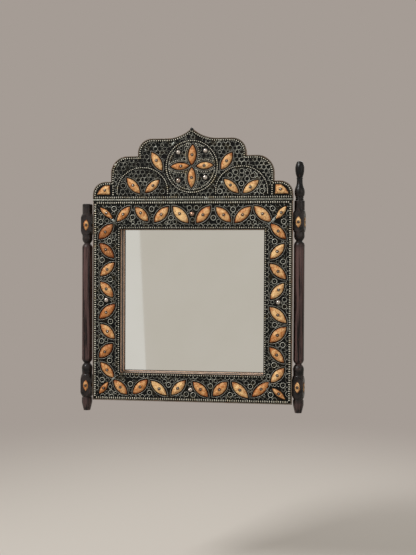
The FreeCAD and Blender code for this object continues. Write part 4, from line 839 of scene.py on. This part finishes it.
# Stamped strips, a low band with beads on it: name, node, paths, bead, band's width, inset of the first bead,
# shine. Bars lie across the strip.
beadRows = (
    ("outer_rows", "outer_bead_rows", sidesOf(rowSizes["outer"], rowSizes["lift"]), bar, 4.4, 1.6, 0.9),
    ("inner_rows", "inner_bead_rows", sidesOf(rowSizes["inner"]), shortBar, 3.2, 1, 0.8),
    ("crest_rim_row", "crest_bead_row", [crestPath(rowSizes["rimInset"], rowSizes["rimFoot"])], shortBar,
     3.2, 0, 1),
    ("crest_base_row", "crest_base_bead_row", [base], bar, 4.4, 0, 0.76),
    ("crest_circle_row", "crest_bead_circle", [circlePath(crest["circle"], crest["ring"])], dot, 2.4, 0, 1),
    ("crest_arch_rows", "crest_bead_arches", archPaths(), dot, 2.4, 0.6, 1),
)
for name, node, paths, master, band, inset, shine in beadRows:
    gap, across = (dotPitch, 0) if master is dot else (pitch, np.pi / 2)
    closed = "circle" in name
    shells = []
    for path in paths:
        strip = wire(refined(path, rowSizes["step"], closed), band / 2, rowSizes["high"], closed, steps=5)
        shells.append(crownsScaled(strip, rowSizes["bandRub"]))
        x, z, turn = paced(path, gap, closed, inset)
        count = len(x)
        angle = turn + across + random.normal(0, rowSizes["lean"], count)
        x, z = (value + random.normal(0, rowSizes["stray"], count) for value in (x, z))
        grow, lift = random.normal(1, rowSizes["vary"], count), random.uniform(*rowSizes["press"], count)
        beads = spread(master, x, z, angle, face + rowSizes["high"] * rowSizes["sunk"], grow, lift)
        shells.append(crownsScaled(beads, shine))
    metalPiece(name, joined(shells), (node,))

# Edge wires, a little dented
edges = {"half": 198.9, "top": 199.5, "inset": 1.15, "foot": 204.3, "radius": 1.1, "rise": 1.4, "step": 3,
         "wave": 0.12}
half = edges["half"]
for name, node, path in (
        ("frame_edges", "frame_edge_wires",
         [[-half, edges["top"]], [-half, -half], [half, -half], [half, edges["top"]]]),
        ("crest_edge", "crest_edge_wire", crestPath(edges["inset"], edges["foot"]))):
    bent = wavy(refined(path, edges["step"]), edges["wave"])
    metalPiece(name, wire(bent, edges["radius"], edges["rise"], False), (node,), "edge_metal")

leafTable = np.array([leaf[:5] for leaf in leaves])
bareLeaf = np.array([[1.9 if leaf[5] == "corner_bone_leaves" else 0] for leaf in leaves])
studSpots = np.array([middleOf(points)[[0, 2]] for name in ("frame_studs", "crest_studs")
                      for points in islands(name)])
rings = {
    "dotted": (4.85, 0.66, 1.3), "plain": (4.6, 0.55, 1.2), "dotRub": 0.65,
    "paintedLightShares": (0.68, 0.95, 0.9), "paintedLightRun": (-50, 40), "crestFrom": 205,
    "extraPlaces": ((56.2, 218.2), (139.9, 218.4), (98.8, 233.4), (-58.7, 218.8), (-138, 230.6),
                    (-138.8, 218.2), (-183, 7.2), (-183, -5.6), (-8.7, -184.3), (5, -185.5)),
    "plainPlaces": ((76.4, 249.8), (87.4, 255.4), (99.6, 258.2), (110.4, 253.6), (121.2, 248.8),
                    (90, 243.8), (110.2, 242.4), (184.6, 5.9), (184.6, -8), (-4.2, 185.8), (9.7, 185.8)),
}
ringSpots = np.array([middleOf(points)[[0, 2]] for points in islands("frame_rings")
                      if np.ptp(points[:, 0]) > 6])  # without the dots
extraRings, plainRings = np.array(rings["extraPlaces"]), np.array(rings["plainPlaces"])
rounds = ((studSpots, 4.9), (ringSpots, 5.5), (extraRings, 5.5), (plainRings, 4.7))  # places, radius kept free


# Distance outside each leaf: root of a squared plus (|b| + radius less half the width) squared, less radius
def leafDistance(x, z):
    rows = []
    for cx, cz, angle, length, width in leafTable:
        radius = (length ** 2 + width ** 2) / (4 * width)
        a = (x - cx) * math.cos(angle) + (z - cz) * math.sin(angle)
        b = -(x - cx) * math.sin(angle) + (z - cz) * math.cos(angle)
        rows.append(np.hypot(a, np.abs(b) + radius - width / 2) - radius)
    return np.array(rows)


# Least of these, and a little more at the corner leaves, which have no wire round them
def leafRoom(x, z):
    return (leafDistance(x, z) + bareLeaf.reshape((-1,) + (1,) * x.ndim)).min(0)


def roundDistance(x, z):
    return np.min([np.hypot(x - cx, z - cz) - wide for spots, wide in rounds for cx, cz in spots], axis=0)


# Bezel wires round the leaves, stopped short where a neighbour is near
bezel = {"gap": 2.6, "radius": 0.55, "rise": 1.3, "wave": 0.25, "fromLeaf": 2.3, "fromRound": 0.4,
         "frame": (150, 191.5), "frameTop": 200, "crest": 210}
for side in ("top", "bottom", "left", "right", "crest"):
    name = side + "_leaf_bezels"
    shells = []
    for points in islands(name):
        middle = middleOf(points)[[0, 2]]
        mine = np.linalg.norm(leafTable[:, :2] - middle, axis=1).argmin()
        x, z, angle, length, width = leafTable[mine]
        path = wavy(turned(lensPath(length, width, bezel["gap"], 24), x, z, angle), bezel["wave"])
        others = np.delete(leafDistance(*path.T), mine, 0).min(0)
        reach = np.abs(path).max(1)
        onGround = (reach > bezel["frame"][0]) & (reach < bezel["frame"][1])
        level = onGround if abs(z) < bezel["frameTop"] else path[:, 1] > bezel["crest"]
        shown = (others > bezel["fromLeaf"]) & (roundDistance(*path.T) > bezel["fromRound"]) & level
        shells.append(wire(path, bezel["radius"], bezel["rise"], shown=shown))
    metalPiece(side + "_bezels", joined(shells), (name,), "smooth_wire")

# Larger rings with a dot where the solid ones are, then those the photo shows besides, some of them plain
ringDot = lathe([(0, 0), (1.15, 0), (1.05, 0.6), (0.65, 1), (0, 1.15)], 10)


def dottedRings(places):
    x, z = places.T
    return [ringShells(x, z, *rings["dotted"]), crownsScaled(spread(ringDot, x, z), rings["dotRub"])]


metalPiece("larger_rings", joined(dottedRings(ringSpots)), ("frame_rings",), "ring_metal")
shell = joined(dottedRings(extraRings) + [ringShells(*plainRings.T, *rings["plain"])])
# Extra rings on the crest get lighter crowns towards the right as painted light; those on the frame keep one
# level
left, right, level = rings["paintedLightShares"]
x, _, z = shell[0].T
shares = np.where(z > rings["crestFrom"], np.interp(x, rings["paintedLightRun"], (left, right)), level)
metalPiece("extra_rings", crownsScaled(shell, shares), (), "ring_metal")

# Nails: a domed head on the leaf and a shank through it; the small bright crown of each dark head is a painted
# highlight
nail = {"shank": 0.7, "rise": 1,
        "head": ((2.2, 0), (2.15, 0.2), (1.8, 0.36), (1.3, 0.5), (0.8, 0.74), (0.4, 0.95))}
for name in ("frame_bone_nails", "crest_bone_nails"):
    places = islands(name)
    centres = np.array([middleOf(points) for points in places])
    tops = -np.array([points[:, 1].min() for points in places])
    foot = nail["rise"] - np.ptp(places[0][:, 1])
    head = lathe([(0, foot), (nail["shank"], foot), (nail["shank"], 0), *nail["head"], (0, nail["rise"])])
    shell = spread(head, centres[:, 0], centres[:, 2], base=(tops - nail["rise"])[:, None])
    addPiece(name.replace("_bone", ""), shell, metals["nail_metal"], (name,))
print("rows, wires and nails done")

# Fields of small wire rings, in the ground where no leaf, ring, stud or row lies
field = {"wire": 0.46, "rise": 1, "press": (0.55, 1), "fromLeaf": 3.5,
         "frame": (148.4, 192.8), "room": (148.6, 192.6), "frameRound": 0.7, "rowRing": 4.3, "rowPitch": 9.1,
         "rows": ((149.6, 4), (191.6, 7)), "rowEnd": 5, "overlap": 2.5, "tries": 7000,
         "span": (149, 193), "sizes": (4.1, 3.5, 2.9, 2.3, 1.8), "apart": (0.35, 0.3), "crestRound": 1.2,
         "crestRing": 3.85,
         "crestPitch": 8.8, "crestSpan": (-196, 197), "crestRows": (211.9, 342), "rowStep": 0.866,
         "missing": 0.05, "frameStray": 0.5, "crestStray": 0.45, "vary": 0.08, "squash": 0.05, "least": 0.3,
         "growSpan": (45, 70), "growTo": (1, 1.1), "paintedLightSpan": (40, 90), "bezel": 3,
         "crestInset": 6, "crestFoot": 209.2, "ringGap": 2.5, "archGap": 2.4,
         "fans": (156.4, 192.6, 232.6)}


def clear(x, z, fromLeaf, fromRound):
    return (leafRoom(x, z) > fromLeaf) & (roundDistance(x, z) > fromRound)


def frameFree(x, z):
    reach = np.maximum(np.abs(x), np.abs(z))
    level = (reach > field["frame"][0] + 0.5) & (reach < field["frame"][1] - 0.5)
    return level & clear(x, z, field["fromLeaf"], field["frameRound"])


# Distance from the middle of the crest's circle
def fromMiddle(x, z):
    return np.hypot(x - crest["circle"][0], z - crest["circle"][1])


# Inside the crest's drawn-in outline by even-odd test, clear of its circle, arches, fans and what lies on it
def crestFree(x, z, grow=0.5):
    path = crestPath(field["crestInset"] + grow, field["crestFoot"] + grow)
    inside = np.zeros(x.shape, bool)
    for (ax, az), (bx, bz) in zip(path, np.roll(path, -1, 0)):
        if az != bz:
            inside ^= ((az > z) != (bz > z)) & (x < (bx - ax) * (z - az) / (bz - az) + ax)
    free = inside & (np.abs(fromMiddle(x, z) - crest["ring"]) > field["ringGap"] + grow)
    near, far, top = field["fans"]
    for side, tall in zip((-1, 1), crest["archTall"]):
        across = np.abs(x - side * crest["arches"])
        away = np.abs(np.hypot(across / crest["archWide"], (z - crest["archHeight"]) / tall) - 1) * tall
        away = np.where(z > crest["archHeight"], away, np.abs(across - crest["archWide"]))
        free &= away > field["archGap"] + grow
        free &= ~((side * x > near - grow) & (side * x < far + grow) & (z < top + grow))
    return free & clear(x, z, field["fromLeaf"], field["crestRound"])


# Small rings on the free ground: centre plus (radius + wire times cosine) round a full turn, sine times rise
# high, squashed a little; wire and height run down to nothing where they meet something
def clippedRings(x, z, radius, free, around=16, steps=5):
    turn = fullTurn(around) + random.uniform(0, 6.28, (len(x), 1))
    squash = random.normal(0, field["squash"], (len(x), 1))
    shown = free(x[:, None] + radius[:, None] * np.cos(turn) * (1 + squash),
                 z[:, None] + radius[:, None] * np.sin(turn) * (1 - squash))
    keep = shown.mean(1) > field["least"]
    x, z, radius, turn, squash, shown = (v[keep] for v in (x, z, radius, turn, squash, shown))
    angle = np.linspace(0, np.pi, steps)
    reach = radius[:, None, None] + field["wire"] * shown[..., None] * np.cos(angle)
    high = field["rise"] * shown[..., None] * np.sin(angle) * random.uniform(*field["press"], (len(x), 1, 1))
    points, quads = ringGrid(x, z, reach, high, turn, squash[..., None])
    kept = np.repeat(shown | np.roll(shown, -1, 1), steps - 1, axis=1)
    used, packed = np.unique(quads[kept], return_inverse=True)
    rub = (high / field["rise"]).ravel()[used]
    return points[used], packed.reshape(-1, 4), np.zeros((0, 3), int), {"rub": rub}


# Distance from each point to the nearest leaf, ring, stud or row of the frame
def frameRoom(x, z):
    reach = np.maximum(np.abs(x), np.abs(z))
    away = np.minimum(reach - field["room"][0], field["room"][1] - reach)
    return np.minimum(away, np.minimum(leafRoom(x, z) - field["bezel"], roundDistance(x, z)))


# Part rings stand against both bead rows; the rest is filled with the largest rings that fit
def frameGround():
    placed = []
    for quarter in range(4):
        for away, start in field["rows"]:
            steps = np.arange(start - away, away - field["rowEnd"], field["rowPitch"])
            steps = steps + random.normal(0, field["frameStray"], len(steps))
            row = turned(np.column_stack([steps, np.full(len(steps), away)]), 0, 0, quarter * math.pi / 2)
            placed.append(np.column_stack([row, np.full(len(row), field["rowRing"])]))
    placed = np.concatenate(placed)
    placed = placed[frameRoom(placed[:, 0], placed[:, 1]) > -field["overlap"]]
    near, far = field["span"]
    tries = random.uniform(-far, far, (field["tries"], 2))
    tries = tries[np.abs(tries).max(1) > near]
    away = frameRoom(*tries.T)
    ownGap, gap = field["apart"]
    for cx, cz, wide in placed:
        away = np.minimum(away, np.hypot(tries[:, 0] - cx, tries[:, 1] - cz) - wide - gap)
    found = []
    for size in field["sizes"]:
        while (away > size + ownGap).any():
            spot = (away > size + ownGap).argmax()
            wide = min(away[spot] - ownGap, field["sizes"][0])
            found.append((*tries[spot], wide))
            away = np.minimum(away, np.hypot(*(tries - tries[spot]).T) - wide - gap)
    return np.concatenate([placed, np.array(found)])


# Rings in staggered rows over the whole crest, a few left out, larger towards the right
def crestGround():
    gap = field["crestPitch"]
    steps = np.arange(*field["crestSpan"], gap)
    rows = np.arange(*field["crestRows"], gap * field["rowStep"])
    spots = np.concatenate([np.stack([steps + (k % 2) * gap / 2, np.full(len(steps), row)], -1)
                            for k, row in enumerate(rows)])
    spots = spots[random.random(len(spots)) > field["missing"]]
    spots = spots + random.normal(0, field["crestStray"], spots.shape)
    grow = np.interp(spots[:, 0], field["growSpan"], field["growTo"])
    return np.column_stack([spots, field["crestRing"] * grow * random.normal(1, field["vary"], len(spots))])


# Crown brightness of each field at the left and at the right; the crest field made lighter towards the right is
# painted light
for name, ground, free, left, right in (("frame_ring_field", frameGround(), frameFree, 1, 1),
                                        ("crest_ring_field", crestGround(), crestFree, 0.86, 0.86 * 1.22)):
    shell = clippedRings(*ground.T, free)
    shine = np.interp(shell[0][:, 0], field["paintedLightSpan"], (left, right))
    metalPiece(name, crownsScaled(shell, shine), (), "ring_metal")
    print(name, len(shell[1]), "quads")

# More dots and bars on the crest: ovals round the petals, a second ring, rows down the walls
extra = {"oval": 5.6, "within": 46.3, "ring": 45.6, "fromLeaf": 4.7, "fromRound": 1.6, "grow": 0.85,
         "wall": 159, "wallEnds": (210.5, 232)}
paths = [turned(lensPath(length, width, extra["oval"], 40), x, z, angle)
         for x, z, angle, length, width, node in leaves if node == "crest_flower_petals"]
shells = []
for path in paths + [circlePath(crest["circle"], extra["ring"])]:
    x, z, turn = paced(path, dotPitch)
    keep = clear(x, z, extra["fromLeaf"], extra["fromRound"]) & (fromMiddle(x, z) < extra["within"])
    shells.append(spread(dot, x[keep], z[keep], turn[keep], grow=extra["grow"]))
for side in (-1, 1):
    x, z, turn = paced([(side * extra["wall"], end) for end in extra["wallEnds"]], pitch, False)
    shells.append(spread(shortBar, x, z, turn + np.pi / 2))
metalPiece("crest_extra_dots", joined(shells))

# Solder at the mitres and on the crest, small tacks, mitre wires and the dark knob at the peak
solder = {
    "blobs": ((162, 161, 0.8, 5, 2.6), (-158, 161, 2.3, 4.4, 2.2), (-158, -157, 0.8, 4.6, 2),
              (154, -160, 2.3, 4.6, 2.4), (-38, 312.8, 0.9, 5.2, 2.2), (-154.5, 272, 1.1, 3.6, 2.4),
              (61, 236, 0.4, 3, 2), (30, 205, 0.1, 4, 1.6)),  # x, z, angle, half length, half width
    "rings": ((1, 0), (0.92, 0.7), (0.7, 1.1), (0.4, 1.3), (0.15, 1.35)),
    "tacks": ((-92.7, 300.9), (-72, 307.5), (-196.8, 180), (150.5, -170)),
    "tack": ((0, 0), (2, 0), (1.9, 0.6), (1.4, 1.2), (0, 1.5)),
    "wires": (((-165, 166), (-150.8, 151.6)), ((169, 171), (151, 151.5)), ((-166, -166), (-151, -151.2)),
              ((163, -166), (150.6, -151.5))), "wire": (0.8, 1.6), "step": 1.5, "wave": 0.35, "vary": 0.1,
    "knob": ((0, 0), (3.1, 0), (3.3, 1.2), (2.7, 2.4), (1.5, 3.1), (0, 3.2)), "knobHeight": 341.2,
}
shells = []
for x, z, angle, long, wide in solder["blobs"]:
    turn = fullTurn(18)
    ragged = 1 + sum(random.normal(0, solder["vary"]) * np.cos(k * turn + random.uniform(0, 6.28))
                     for k in (2, 3, 5))
    blob = dome((long, wide) * unit(turn) * ragged[:, None], solder["rings"])
    shells.append(spread(blob, np.array([x]), np.array([z]), angle))
shells.append(spread(lathe(solder["tack"]), *np.array(solder["tacks"]).T))
for ends in solder["wires"]:
    shells.append(wire(wavy(refined(ends, solder["step"]), solder["wave"]), *solder["wire"], False))
metalPiece("solder_and_tacks", joined(shells), (), "solder")
knob = spread(lathe(solder["knob"], 16), np.zeros(1), np.array([solder["knobHeight"]]))
addPiece("peak_knob", knob, plainPaint("peak_metal", (16, 15, 15), 0.36, 0.3))
